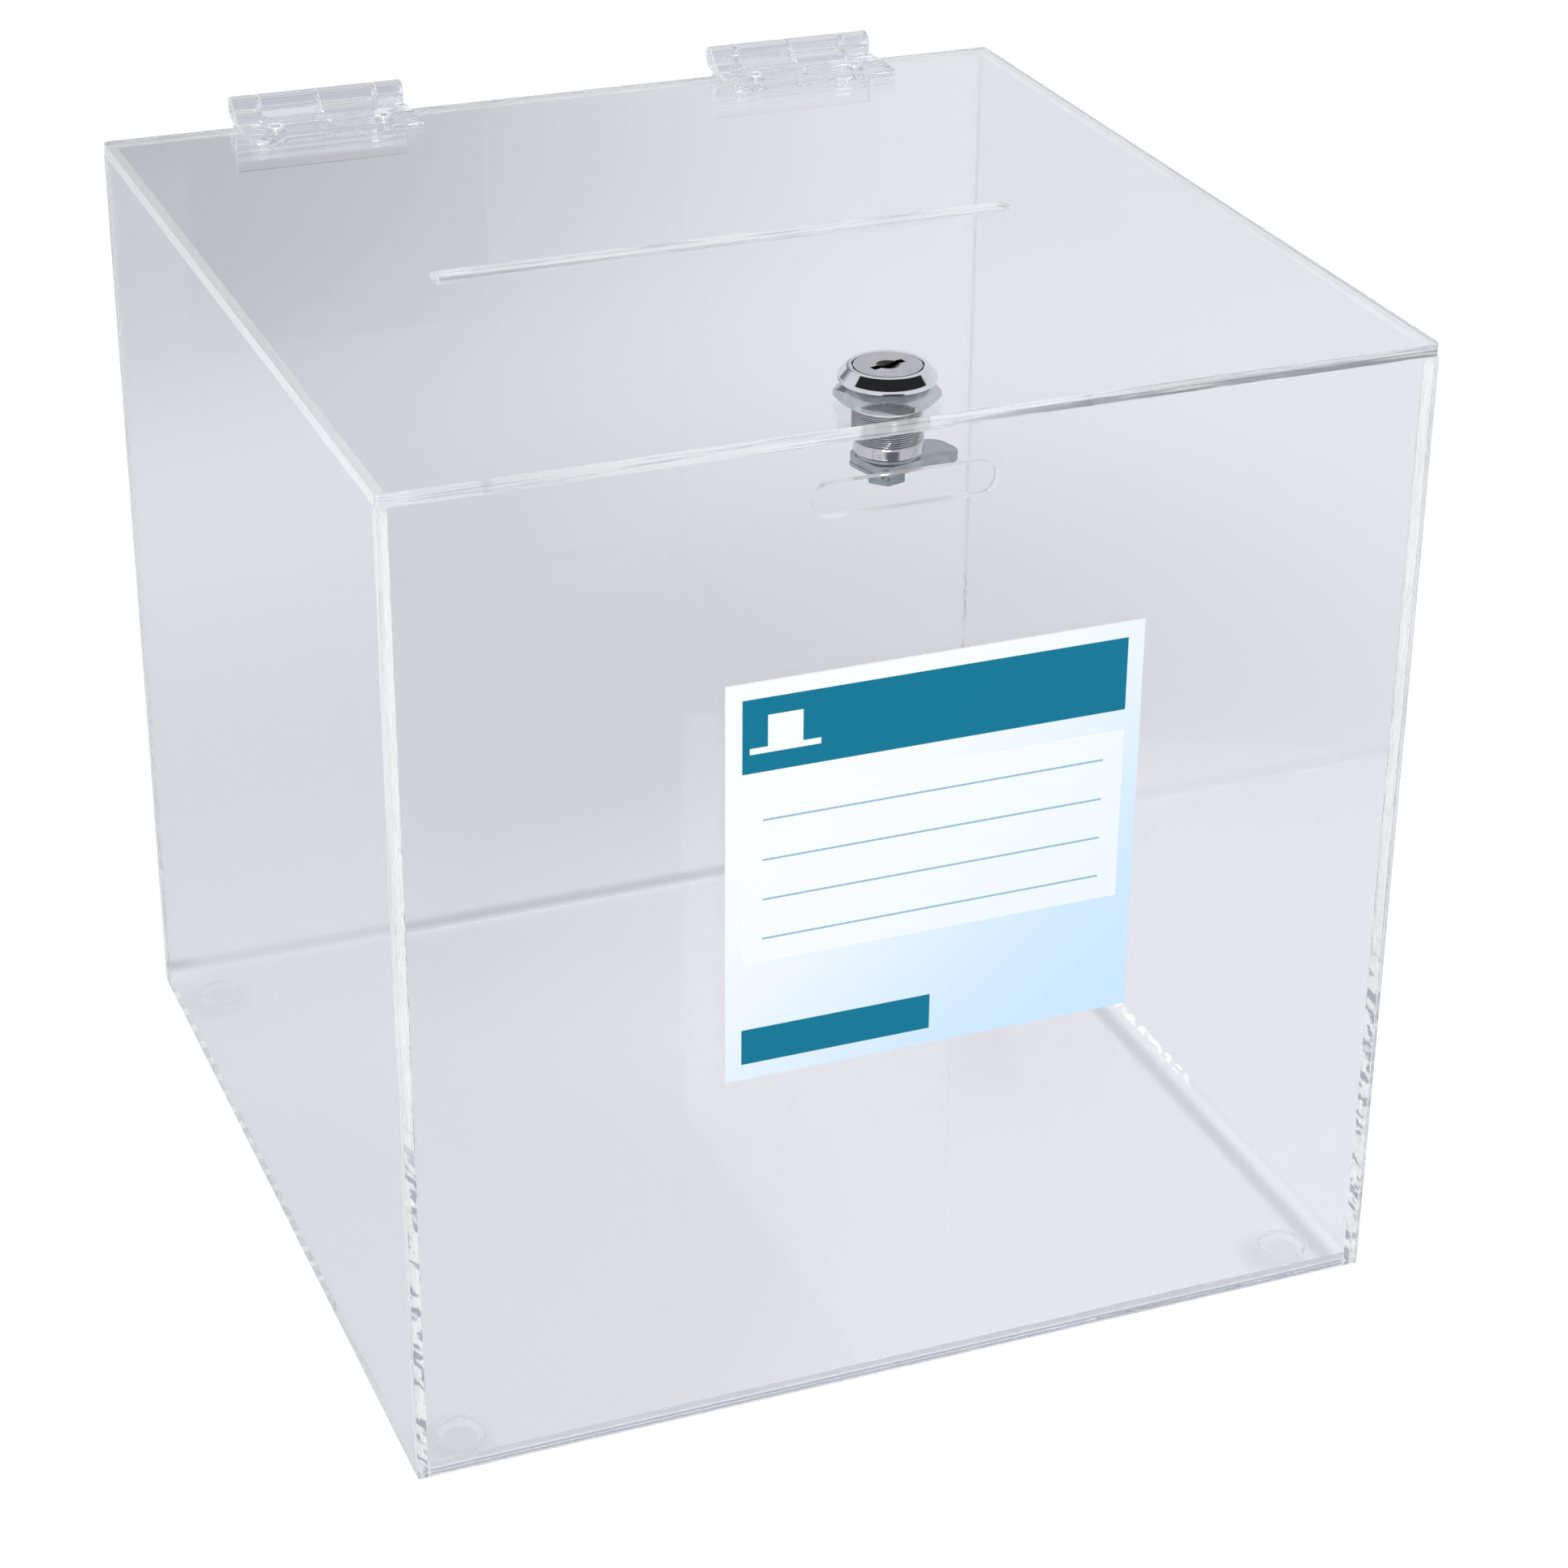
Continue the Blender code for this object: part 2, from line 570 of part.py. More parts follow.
def build_cam():
    """Cranked cam, arm along its own +X: its side section crossed with its outline in plan."""
    side = [(-CAM_ROOT_HALF - OVERRUN, -CAM_THICKNESS), (CAM_CRANK_START, -CAM_THICKNESS),
            (CAM_CRANK_END, -CAM_THICKNESS - CAM_CRANK), (CAM_REACH + OVERRUN, -CAM_THICKNESS - CAM_CRANK),
            (CAM_REACH + OVERRUN, -CAM_CRANK), (CAM_CRANK_END, -CAM_CRANK), (CAM_CRANK_START, 0.0),
            (-CAM_ROOT_HALF - OVERRUN, 0.0)]
    cam = prism("cam", [side], 2 * (CAM_ARM_FAR + OVERRUN), ZINC)
    turn_mesh(cam, FACE_ON)
    plan_outline = rounded_outline([
        (-CAM_ROOT_HALF, -CAM_ROOT_HALF, CAM_ROOT_BACK_CORNER),
        (CAM_ROOT_FRONT, -CAM_ROOT_HALF, CAM_ROOT_CORNER),
        (CAM_ROOT_FRONT, -CAM_ARM_NEAR, 0.0),
        (CAM_REACH, -CAM_ARM_NEAR, CAM_ARM_CORNER),
        (CAM_REACH, CAM_ARM_FAR, CAM_ARM_CORNER),
        (CAM_CRANK_END, CAM_ARM_FAR, CAM_SHOULDER_CORNER),
        (CAM_CRANK_END, CAM_CRANK_FAR, 0.0),
        (CAM_CRANK_START, CAM_CRANK_FAR, 0.0),
        (CAM_CRANK_START, CAM_ROOT_HALF, CAM_ROOT_CORNER),
        (-CAM_ROOT_HALF, CAM_ROOT_HALF, CAM_ROOT_BACK_CORNER)])
    plan = prism("cam_plan", [plan_outline], 2 * (CAM_THICKNESS + CAM_CRANK + OVERRUN), None, CUTTERS)
    combine(cam, plan, "INTERSECT")
    square = TAIL_WIDTH + 2 * HOLE_CLEARANCE
    hole = block("cam_square_hole", (square, square, 2 * (CAM_THICKNESS + OVERRUN)), None, CUTTERS)
    combine(cam, hole, "DIFFERENCE")
    hang(cam, PLUG, PLUG_PLACE, (LOCK_X, LOCK_Y, CAM_TOP))

    half = WASHER_WIDTH / 2
    tab = rectangle(half + WASHER_FRONT, WASHER_WIDTH, WASHER_CORNER, ((WASHER_FRONT - half) / 2, 0))
    washer = prism("cam_washer", [tab, ring(SCREW_RADIUS + HOLE_CLEARANCE, SMALL_STEPS)],
                   WASHER_THICKNESS, ZINC)
    hang(washer, PLUG, PLUG_PLACE, (LOCK_X, LOCK_Y, WASHER_TOP - WASHER_THICKNESS / 2))

    corner = SCREW_HEAD_ACROSS / 2 / math.cos(math.pi / 6)
    screw = prism("cam_screw", [ring(corner, 6)], SCREW_HEAD_HEIGHT, ZINC)
    shank_length = SCREW_DEPTH + TAIL_BOTTOM - SCREW_HEAD_TOP + OVERRUN
    shank = cylinder("screw_shank", SCREW_RADIUS, shank_length, None, SMALL_STEPS, CUTTERS)
    turn_mesh(shank, Matrix.Translation((0, 0, SCREW_HEAD_HEIGHT / 2 + shank_length / 2 - OVERRUN)))
    combine(screw, shank, "UNION")
    hang(screw, PLUG, PLUG_PLACE, (LOCK_X, LOCK_Y, SCREW_HEAD_TOP - SCREW_HEAD_HEIGHT / 2))


def build_feet():
    """Domed bumpers: a short band, a quarter-round shoulder and a flat pad."""
    drop = FOOT_HEIGHT - FOOT_BAND
    shoulder = [(FOOT_PAD_RADIUS + (FOOT_RADIUS - FOOT_PAD_RADIUS) * math.cos(step / CORNER_STEPS * math.pi / 2),
                 -FOOT_BAND - drop * math.sin(step / CORNER_STEPS * math.pi / 2))
                for step in range(CORNER_STEPS + 1)]
    profile = [(0, 0), (FOOT_RADIUS, 0)] + shoulder + [(0, -FOOT_HEIGHT)]
    x = CASE_WIDTH / 2 - FOOT_INSET
    y = CASE_DEPTH / 2 - FOOT_INSET
    for name, place in (("foot_front_left", (-x, -y)), ("foot_front_right", (x, -y)),
                        ("foot_back_left", (-x, y)), ("foot_back_right", (x, y))):
        foot = turned(name, profile, SOFT_CLEAR, steps=SMALL_STEPS)
        hang(foot, CASE, CASE_PLACE, (*place, -SEAT_GAP))


def build_card():
    card = block("label_card", (CARD_WIDTH, CARD_THICKNESS, CARD_HEIGHT), CARD)
    hang(card, CASE, CASE_PLACE, (CARD_X, CARD_FACE + CARD_THICKNESS / 2, CARD_Z))


clear_scene()
PARTS = make_collection("drop_box")
CUTTERS = make_collection("cutters")
ACRYLIC = make_material("clear_acrylic", (0.96, 0.97, 0.98), 0.02, transmission=1.0)
CLEAR_PLASTIC = make_material("clear_plastic", (0.94, 0.95, 0.97), 0.06, transmission=1.0)
SOFT_CLEAR = make_material("clear_rubber", (0.93, 0.93, 0.92), 0.15, transmission=0.9)
CHROME = make_material("chrome", (0.80, 0.81, 0.83), 0.06, metallic=1.0)
SATIN = make_material("satin_steel", (0.62, 0.61, 0.63), 0.35, metallic=1.0)
ZINC = make_material("zinc_plate", (0.66, 0.72, 0.75), 0.25, metallic=1.0)
BRASS = make_material("brass", (0.80, 0.62, 0.30), 0.30, metallic=1.0)
CARD = make_material("printed_card", (0.78, 0.88, 0.95), 0.45)

CASE_PLACE = (0.0, 0.0, 0.0)
LID_PLACE = (0.0, HINGE_Y, HINGE_Z)
PLUG_PLACE = (LOCK_X, LOCK_Y, LID_TOP)
CASE = make_empty("case", (0.0, -ORIGIN_Y, -ORIGIN_Z))
LID = make_empty("lid_axis", LID_PLACE, CASE)
PLUG = make_empty("lock_axis", Vector(PLUG_PLACE) - Vector(LID_PLACE), LID)
PLUG.rotation_euler.z = CAM_REST_TURN

build_sheets()
build_lid()
build_hinges()
build_housing()
build_nut()
build_plug()
build_wafers()
build_clip()
build_cam()
build_feet()
build_card()
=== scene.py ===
# Clear acrylic drop box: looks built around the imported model. Metres, +Z up, front at -Y.
import json
import math

import bmesh
import bpy
import numpy as np
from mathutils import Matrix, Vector


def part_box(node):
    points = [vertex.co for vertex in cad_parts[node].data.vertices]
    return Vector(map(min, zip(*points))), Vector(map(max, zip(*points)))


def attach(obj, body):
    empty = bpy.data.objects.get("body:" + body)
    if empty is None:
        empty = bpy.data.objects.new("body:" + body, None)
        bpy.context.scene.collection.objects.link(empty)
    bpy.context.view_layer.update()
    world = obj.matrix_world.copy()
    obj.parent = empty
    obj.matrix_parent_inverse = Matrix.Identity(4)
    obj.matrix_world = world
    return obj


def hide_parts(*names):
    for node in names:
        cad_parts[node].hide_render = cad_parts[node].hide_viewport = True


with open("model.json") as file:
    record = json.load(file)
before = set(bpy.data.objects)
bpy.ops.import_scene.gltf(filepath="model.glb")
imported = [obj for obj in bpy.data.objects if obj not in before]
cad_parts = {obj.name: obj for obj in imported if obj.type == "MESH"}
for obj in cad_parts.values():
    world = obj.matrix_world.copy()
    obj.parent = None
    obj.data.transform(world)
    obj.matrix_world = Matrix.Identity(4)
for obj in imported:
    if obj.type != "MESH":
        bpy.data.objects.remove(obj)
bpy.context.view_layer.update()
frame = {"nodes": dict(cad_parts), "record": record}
nodes = frame["nodes"]
slotOf = {entry["node"]: entry["material_slot"] for entry in frame["record"]["subparts"]}
bodyOf = {name: body for body, names in frame["record"]["behaviour"]["bodies"].items() for name in names}
print("frame loaded:", len(nodes), "nodes")


# Small helpers for node trees

def addNode(tree, kind, **values):
    # a node with its named inputs set; an underscore in a name stands for a space
    made = tree.nodes.new(kind)
    for name, value in values.items():
        made.inputs[name.replace("_", " ")].default_value = value
    return made


def addMath(tree, operation, first, second):
    made = tree.nodes.new("ShaderNodeMath")
    made.operation = operation
    for socket, value in zip(made.inputs, (first, second)):
        if isinstance(value, (int, float)):
            socket.default_value = value
        else:
            tree.links.new(value, socket)
    return made.outputs[0]


def addRange(tree, value, low, high, toLow, toHigh):
    # smooth step from one number to another while the value runs from low to high
    made = addNode(tree, "ShaderNodeMapRange", From_Min=low, From_Max=high, To_Min=toLow, To_Max=toHigh)
    made.interpolation_type = "SMOOTHSTEP"
    tree.links.new(value, made.inputs["Value"])
    return made.outputs["Result"]


def addColorMix(tree, share, first, second):
    made = tree.nodes.new("ShaderNodeMix")
    made.data_type = "RGBA"
    inputs = {socket.identifier: socket for socket in made.inputs}
    for key, value in (("Factor_Float", share), ("A_Color", first), ("B_Color", second)):
        if isinstance(value, (int, float)):
            inputs[key].default_value = value
        elif isinstance(value, tuple):
            inputs[key].default_value = (*value, 1)
        else:
            tree.links.new(value, inputs[key])
    return next(socket for socket in made.outputs if socket.identifier == "Result_Color")


def objectPoint(tree, scale=(1, 1, 1)):
    # the place on the piece in metres, stretched along its axes where a pattern needs it
    place = tree.nodes.new("ShaderNodeTexCoord").outputs["Object"]
    mapping = addNode(tree, "ShaderNodeMapping", Scale=scale)
    tree.links.new(place, mapping.inputs["Vector"])
    return mapping.outputs["Vector"]


def addNoise(tree, scale, detail=3.0, stretch=(1, 1, 1)):
    noise = addNode(tree, "ShaderNodeTexNoise", Scale=scale, Detail=detail)
    tree.links.new(objectPoint(tree, stretch), noise.inputs["Vector"])
    return noise.outputs["Fac"]


def addBump(tree, shader, height, strength, distance):
    bump = addNode(tree, "ShaderNodeBump", Strength=strength, Distance=distance)
    tree.links.new(height, bump.inputs["Height"])
    tree.links.new(bump.outputs["Normal"], shader.inputs["Normal"])


def newMaterial(name, color, roughness, **plain):
    material = bpy.data.materials.new(name)
    material.use_nodes = True
    shader = material.node_tree.nodes["Principled BSDF"]
    shader.inputs["Base Color"].default_value = (*color, 1)
    shader.inputs["Roughness"].default_value = roughness
    for key, value in plain.items():
        shader.inputs[key.replace("_", " ")].default_value = value
    return material, material.node_tree, shader


def letLampsThrough(tree, shader, tint):
    # shadow rays pass straight through, a little dimmed, so that the clear sheets cast only faint shadows
    path = tree.nodes.new("ShaderNodeLightPath")
    through = addNode(tree, "ShaderNodeBsdfTransparent", Color=(*tint, 1))
    mix = tree.nodes.new("ShaderNodeMixShader")
    tree.links.new(path.outputs["Is Shadow Ray"], mix.inputs["Fac"])
    tree.links.new(shader.outputs[0], mix.inputs[1])
    tree.links.new(through.outputs[0], mix.inputs[2])
    tree.links.new(mix.outputs[0], tree.nodes["Material Output"].inputs["Surface"])


# Materials

acrylicLook = {"color": (0.992, 0.993, 0.996), "ior": 1.49, "shadow": (0.965, 0.967, 0.972),
               "edgeLight": (0.995, 0.995, 0.985), "edgeGrey": (0.66, 0.68, 0.71),
               "rimGrey": (0.90, 0.905, 0.91), "edgeRoughness": (0.03, 0.16), "edgeClear": (0.25, 0.35, 0.72),
               "endClear": 0.12, "lineSize": 0.0006, "runSize": 0.03}


def sheetFace():
    material, tree, shader = newMaterial("acrylic_face", acrylicLook["color"], 0.0, IOR=acrylicLook["ior"],
                                         Transmission_Weight=1.0)
    letLampsThrough(tree, shader, acrylicLook["shadow"])
    return material


def sheetEdge(name, axis, clear, grey):
    # sawn and polished edge: light gathers in it, so it is whitish, with fine lines and greyer runs along it;
    # the noise is squeezed across the sheet (the axis given) and drawn out along it
    material, tree, shader = newMaterial(name, acrylicLook["edgeLight"], 0.1, IOR=acrylicLook["ior"],
                                         Transmission_Weight=clear)
    squeeze = [1 / acrylicLook["runSize"]] * 3
    squeeze[axis] = 1 / acrylicLook["lineSize"]
    lines = addNoise(tree, 1.0, 3.0, squeeze)
    shade = addRange(tree, lines, 0.5, 0.66, 0.0, 1.0)
    tree.links.new(addColorMix(tree, shade, acrylicLook["edgeLight"], grey), shader.inputs["Base Color"])
    low, high = acrylicLook["edgeRoughness"]
    tree.links.new(addRange(tree, lines, 0.35, 0.65, low, high), shader.inputs["Roughness"])
    addBump(tree, shader, lines, 0.35, 0.00012)
    letLampsThrough(tree, shader, acrylicLook["shadow"])
    return material


# the painted dark reflection along the lid's front edge: heights are shares of the sheet, the rest is in
# metres
reflectedRunLook = {"color": (0.16, 0.165, 0.19), "height": (0.45, 0.6), "start": (-0.01, 0.03),
              "reach": (0.001, 0.002), "stretch": (45.0, 1.0, 1400.0), "noise": (0.36, 0.56),
              "cover": (0.2, 0.85)}


def paintReflectedRun(material):
    # painted reflection: a dark run along the lower half of the lid's front edge, from the middle to the
    # right, broken by noise
    look = reflectedRunLook
    tree = material.node_tree
    shader = tree.nodes["Principled BSDF"]
    low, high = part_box("lid_panel")
    parts = tree.nodes.new("ShaderNodeSeparateXYZ")
    tree.links.new(tree.nodes.new("ShaderNodeTexCoord").outputs["Object"], parts.inputs[0])
    thick = high.z - low.z
    lower = addRange(tree, parts.outputs["Z"], *(low.z + thick * share for share in look["height"]), 1.0, 0.0)
    right = addRange(tree, parts.outputs["X"], *look["start"], 0.0, 1.0)
    forward = addRange(tree, parts.outputs["Y"], *(low.y + reach for reach in look["reach"]), 1.0, 0.0)
    uneven = addRange(tree, addNoise(tree, 1.0, 3.0, look["stretch"]), *look["noise"], *look["cover"])
    share = addMath(tree, "MULTIPLY", addMath(tree, "MULTIPLY", lower, right),
                    addMath(tree, "MULTIPLY", forward, uneven))
    plain = shader.inputs["Base Color"].links[0].from_socket
    tree.links.new(addColorMix(tree, share, plain, look["color"]), shader.inputs["Base Color"])


mouldingLooks = {"hinge_clear": {"color": (0.925, 0.93, 0.95), "roughness": 0.02, "clear": 1.0},
                 "hinge_end": {"color": (0.99, 0.99, 0.99), "roughness": 0.12, "clear": 0.45},
                 "foot_clear": {"color": (0.97, 0.97, 0.97), "roughness": 0.04, "clear": 0.9},
                 "foot_pad": {"color": (0.99, 0.99, 0.99), "roughness": 0.25, "clear": 0.35}}
frostLook = {"size": 1 / 1400, "roughness": (0.05, 0.3), "strength": 0.4, "depth": 0.0001}


def clearMoulding(name, frosted=False):
    # moulded plastic; the ends of the hinge parts are cut short and a little frosted, so they catch the light
    look = mouldingLooks[name]
    material, tree, shader = newMaterial(name, look["color"], look["roughness"], IOR=acrylicLook["ior"],
                                         Transmission_Weight=look["clear"])
    if frosted:
        frost = addNoise(tree, 1 / frostLook["size"], 3.0)
        tree.links.new(addRange(tree, frost, 0.35, 0.65, *frostLook["roughness"]), shader.inputs["Roughness"])
        addBump(tree, shader, frost, frostLook["strength"], frostLook["depth"])
    letLampsThrough(tree, shader, acrylicLook["shadow"])
    return material


glueTint = {"white": (0.96, 0.96, 0.95), "grey": (0.42, 0.47, 0.51), "seam": 0.8, "line": 0.00045,
            "run": 0.02, "dash": (0.0011, 0.0011, 0.0045), "lean": 35.0, "dashTop": 0.105,
            "shadow": (0.97, 0.97, 0.97)}


def glueLine(name, cover, dashes):
    # cured cement seen inside the clear sheets: a whitish film with fine upright lines, and in its lower part
    # short leaning dashes where the film has pulled away; cover is the share that isn't clear
    material, tree, shader = newMaterial(name, glueTint["white"], 0.5, IOR=1.0, Specular_IOR_Level=0.0)
    lines = addNoise(tree, 1.0, 3.0, (1 / glueTint["line"], 1 / glueTint["line"], 1 / glueTint["run"]))
    film = addRange(tree, lines, 0.35, 0.65, cover * 0.55, min(cover * 1.35, 1.0))
    place = tree.nodes.new("ShaderNodeTexCoord").outputs["Object"]
    leaning = addNode(tree, "ShaderNodeMapping", Rotation=(0, math.radians(glueTint["lean"]), 0))
    tree.links.new(place, leaning.inputs["Vector"])
    stretched = addNode(tree, "ShaderNodeMapping", Scale=tuple(1 / size for size in glueTint["dash"]))
    tree.links.new(leaning.outputs["Vector"], stretched.inputs["Vector"])
    specks = addNode(tree, "ShaderNodeTexNoise", Scale=1.0, Detail=1.0)
    tree.links.new(stretched.outputs["Vector"], specks.inputs["Vector"])
    parts = tree.nodes.new("ShaderNodeSeparateXYZ")
    tree.links.new(place, parts.inputs[0])
    lower = addRange(tree, parts.outputs["Z"], glueTint["dashTop"] * 0.8, glueTint["dashTop"], dashes, 0.0)
    dash = addMath(tree, "MULTIPLY", addRange(tree, specks.outputs["Fac"], 0.52, 0.6, 0.0, 1.0), lower)
    tree.links.new(addMath(tree, "MAXIMUM", film, dash), shader.inputs["Alpha"])
    tree.links.new(addColorMix(tree, dash, glueTint["white"], glueTint["grey"]), shader.inputs["Base Color"])
    letLampsThrough(tree, shader, glueTint["shadow"])
    return material


baseCementShadeTint = {"upper": (0.765, 0.775, 0.815), "line": (0.97, 0.97, 0.97), "foot": (0.60, 0.63, 0.72),
            "cover": (0.87, 0.98), "lineLow": 0.0008, "lineHigh": 0.0014, "soft": 0.00012, "thin": 0.05}


def baseCementAndShade():
    # cement along the base's front: a film in three bands of height, painted with light and shade
    # a painted grey shade at the foot, a painted white highlight line, and above them the floor's pale tone
    # painted on
    material, tree, shader = newMaterial("base_cement_and_painted_shade", baseCementShadeTint["upper"], 0.5, IOR=1.0,
                                         Specular_IOR_Level=0.0)
    parts = tree.nodes.new("ShaderNodeSeparateXYZ")
    tree.links.new(tree.nodes.new("ShaderNodeTexCoord").outputs["Object"], parts.inputs[0])
    up = addMath(tree, "SUBTRACT", parts.outputs["Z"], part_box("base_panel")[0].z)
    soft = baseCementShadeTint["soft"]
    aboveFoot = addRange(tree, up, baseCementShadeTint["lineLow"] - soft, baseCementShadeTint["lineLow"] + soft, 0.0, 1.0)
    aboveLine = addRange(tree, up, baseCementShadeTint["lineHigh"] - soft, baseCementShadeTint["lineHigh"] + soft, 0.0, 1.0)
    lower = addColorMix(tree, aboveFoot, baseCementShadeTint["foot"], baseCementShadeTint["line"])
    tree.links.new(addColorMix(tree, aboveLine, lower, baseCementShadeTint["upper"]), shader.inputs["Base Color"])
    uneven = addRange(tree, addNoise(tree, 130.0, 3.0), 0.35, 0.65, *baseCementShadeTint["cover"])
    tree.links.new(uneven, shader.inputs["Alpha"])
    letLampsThrough(tree, shader, glueTint["shadow"])
    return material


def lockPlace(tree):
    # distance from the lock's upright axis, and the height, both in metres
    low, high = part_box("lock_housing")
    place = tree.nodes.new("ShaderNodeTexCoord").outputs["Object"]
    centred = addNode(tree, "ShaderNodeMapping", Location=(-(low.x + high.x) / 2, -(low.y + high.y) / 2, 0))
    tree.links.new(place, centred.inputs["Vector"])
    flat = tree.nodes.new("ShaderNodeVectorMath")
    flat.operation = "MULTIPLY"
    flat.inputs[1].default_value = (1, 1, 0)
    tree.links.new(centred.outputs["Vector"], flat.inputs[0])
    radius = tree.nodes.new("ShaderNodeVectorMath")
    radius.operation = "LENGTH"
    tree.links.new(flat.outputs["Vector"], radius.inputs[0])
    parts = tree.nodes.new("ShaderNodeSeparateXYZ")
    tree.links.new(centred.outputs["Vector"], parts.inputs[0])
    return radius.outputs["Value"], parts.outputs["Z"]


def turnedNoise(tree, size):
    # tool marks: noise that changes only with the distance from the lock's axis and with the height
    radius, height = lockPlace(tree)
    joined = tree.nodes.new("ShaderNodeCombineXYZ")
    tree.links.new(radius, joined.inputs["X"])
    tree.links.new(height, joined.inputs["Z"])
    noise = addNode(tree, "ShaderNodeTexNoise", Scale=1 / size, Detail=3.0)
    tree.links.new(joined.outputs["Vector"], noise.inputs["Vector"])
    return noise.outputs["Fac"]


metalLooks = {
    "bright_chrome": {"color": (0.80, 0.81, 0.83), "roughness": 0.06,
                      "grainSize": 0.0004, "grainDepth": 0.0000012},
    "thread_chrome": {"color": (0.62, 0.61, 0.63), "roughness": 0.10,
                      "grainSize": 0.0003, "grainDepth": 0.000004, "cloudTint": 0.3, "turned": 0.3},
    "turned_zinc": {"color": (0.60, 0.65, 0.67), "roughness": 0.15,
                    "grainSize": 0.00028, "grainDepth": 0.00003, "cloudTint": 0.6, "turned": 0.85,
                    "bare": 0.84},
    # the cam's zinc, darker than the nut's: painted shade standing in for the dark surroundings it reflects
    "blue_zinc_painted_shade": {"color": (0.34, 0.385, 0.405), "roughness": 0.20,
                  "grainSize": 0.00018, "grainDepth": 0.000008, "cloudTint": 0.9, "bare": 0.85},
    "satin_plug": {"color": (0.58, 0.565, 0.59), "roughness": 0.24,
                   "grainSize": 0.00012, "grainDepth": 0.000004, "cloudTint": 0.2},
    "dull_brass": {"color": (0.80, 0.62, 0.30), "roughness": 0.3,
                   "grainSize": 0.0003, "grainDepth": 0.000004},
    # near black: painted shade in the keyhole's dish and keyway
    "keyhole_painted_shade": {"color": (0.055, 0.052, 0.04), "roughness": 0.25,
                     "grainSize": 0.0005, "grainDepth": 0.00001, "cloudTint": 0.5}}


def metal(name, color, roughness, grainSize, grainDepth, cloudTint=0.12, turned=0.0, bare=1.0):
    # fine grain in the roughness and the normal, over a broad faint cloud in the colour; turned is the share
    # of the grain that comes from tool marks round the lock's axis, and bare is less than 1 on a hazy plating
    material, tree, shader = newMaterial(name, color, roughness, Metallic=bare)
    grain = addNoise(tree, 1 / grainSize, 3.0)
    if turned:
        marks = turnedNoise(tree, grainSize * 1.5)
        grain = addMath(tree, "ADD", addMath(tree, "MULTIPLY", grain, 1 - turned),
                        addMath(tree, "MULTIPLY", marks, turned))
    tree.links.new(addRange(tree, grain, 0.3, 0.7, roughness * 0.75, roughness * 1.3),
                   shader.inputs["Roughness"])
    cloud = addRange(tree, addNoise(tree, 260.0, 3.0), 0.35, 0.65, 0.0, cloudTint)
    dull = tuple(channel * 0.7 for channel in color)
    tree.links.new(addColorMix(tree, cloud, color, dull), shader.inputs["Base Color"])
    addBump(tree, shader, grain, 0.25, grainDepth)
    return material


# radii, and heights where the shade begins and is full
threadShade = {"root": 0.00752, "crest": 0.00772, "color": (0.045, 0.045, 0.05), "top": (0.2588, 0.2590),
               "bottom": (0.2458, 0.2462)}


def paintThreadRootShade(material):
    # painted shade: the colour darkens towards the thread's root, where shade falls, between the head and the
    # plain band
    tree = material.node_tree
    shader = tree.nodes["Principled BSDF"]
    radius, height = lockPlace(tree)
    deep = addRange(tree, radius, threadShade["root"], threadShade["crest"], 1.0, 0.0)
    below = addRange(tree, height, *threadShade["top"], 1.0, 0.0)
    above = addRange(tree, height, *threadShade["bottom"], 0.0, 1.0)
    share = addMath(tree, "MULTIPLY", deep, addMath(tree, "MULTIPLY", below, above))
    plain = shader.inputs["Base Color"].links[0].from_socket
    tree.links.new(addColorMix(tree, share, plain, threadShade["color"]), shader.inputs["Base Color"])


cardLook = {"pale": (0.80, 0.885, 0.965), "white": (0.93, 0.945, 0.985), "blue": (0.60, 0.79, 0.94),
            "teal": (0.001, 0.180, 0.29), "line": (0.30, 0.52, 0.62), "back": (0.88, 0.885, 0.89),
            "roughness": 0.38}
# metres, or shares of the card's size, measured from the nearer edge
cardLayout = {"margin": 0.004, "fieldLow": 0.30, "fieldHigh": 0.27, "fieldCover": 0.75, "stripDepth": 0.22,
              "markAcross": 0.14, "markLevel": 0.16, "slip": (0.0042, 0.0078),
              "slit": (0.0085, -0.0014, 0.0001), "barHeight": 0.13, "ruleMargin": 0.009, "ruleLow": 0.34,
              "ruleHigh": 0.33, "ruleFirst": 0.36, "rulePitch": 0.05, "ruleWidth": (0.0002, 0.0003)}


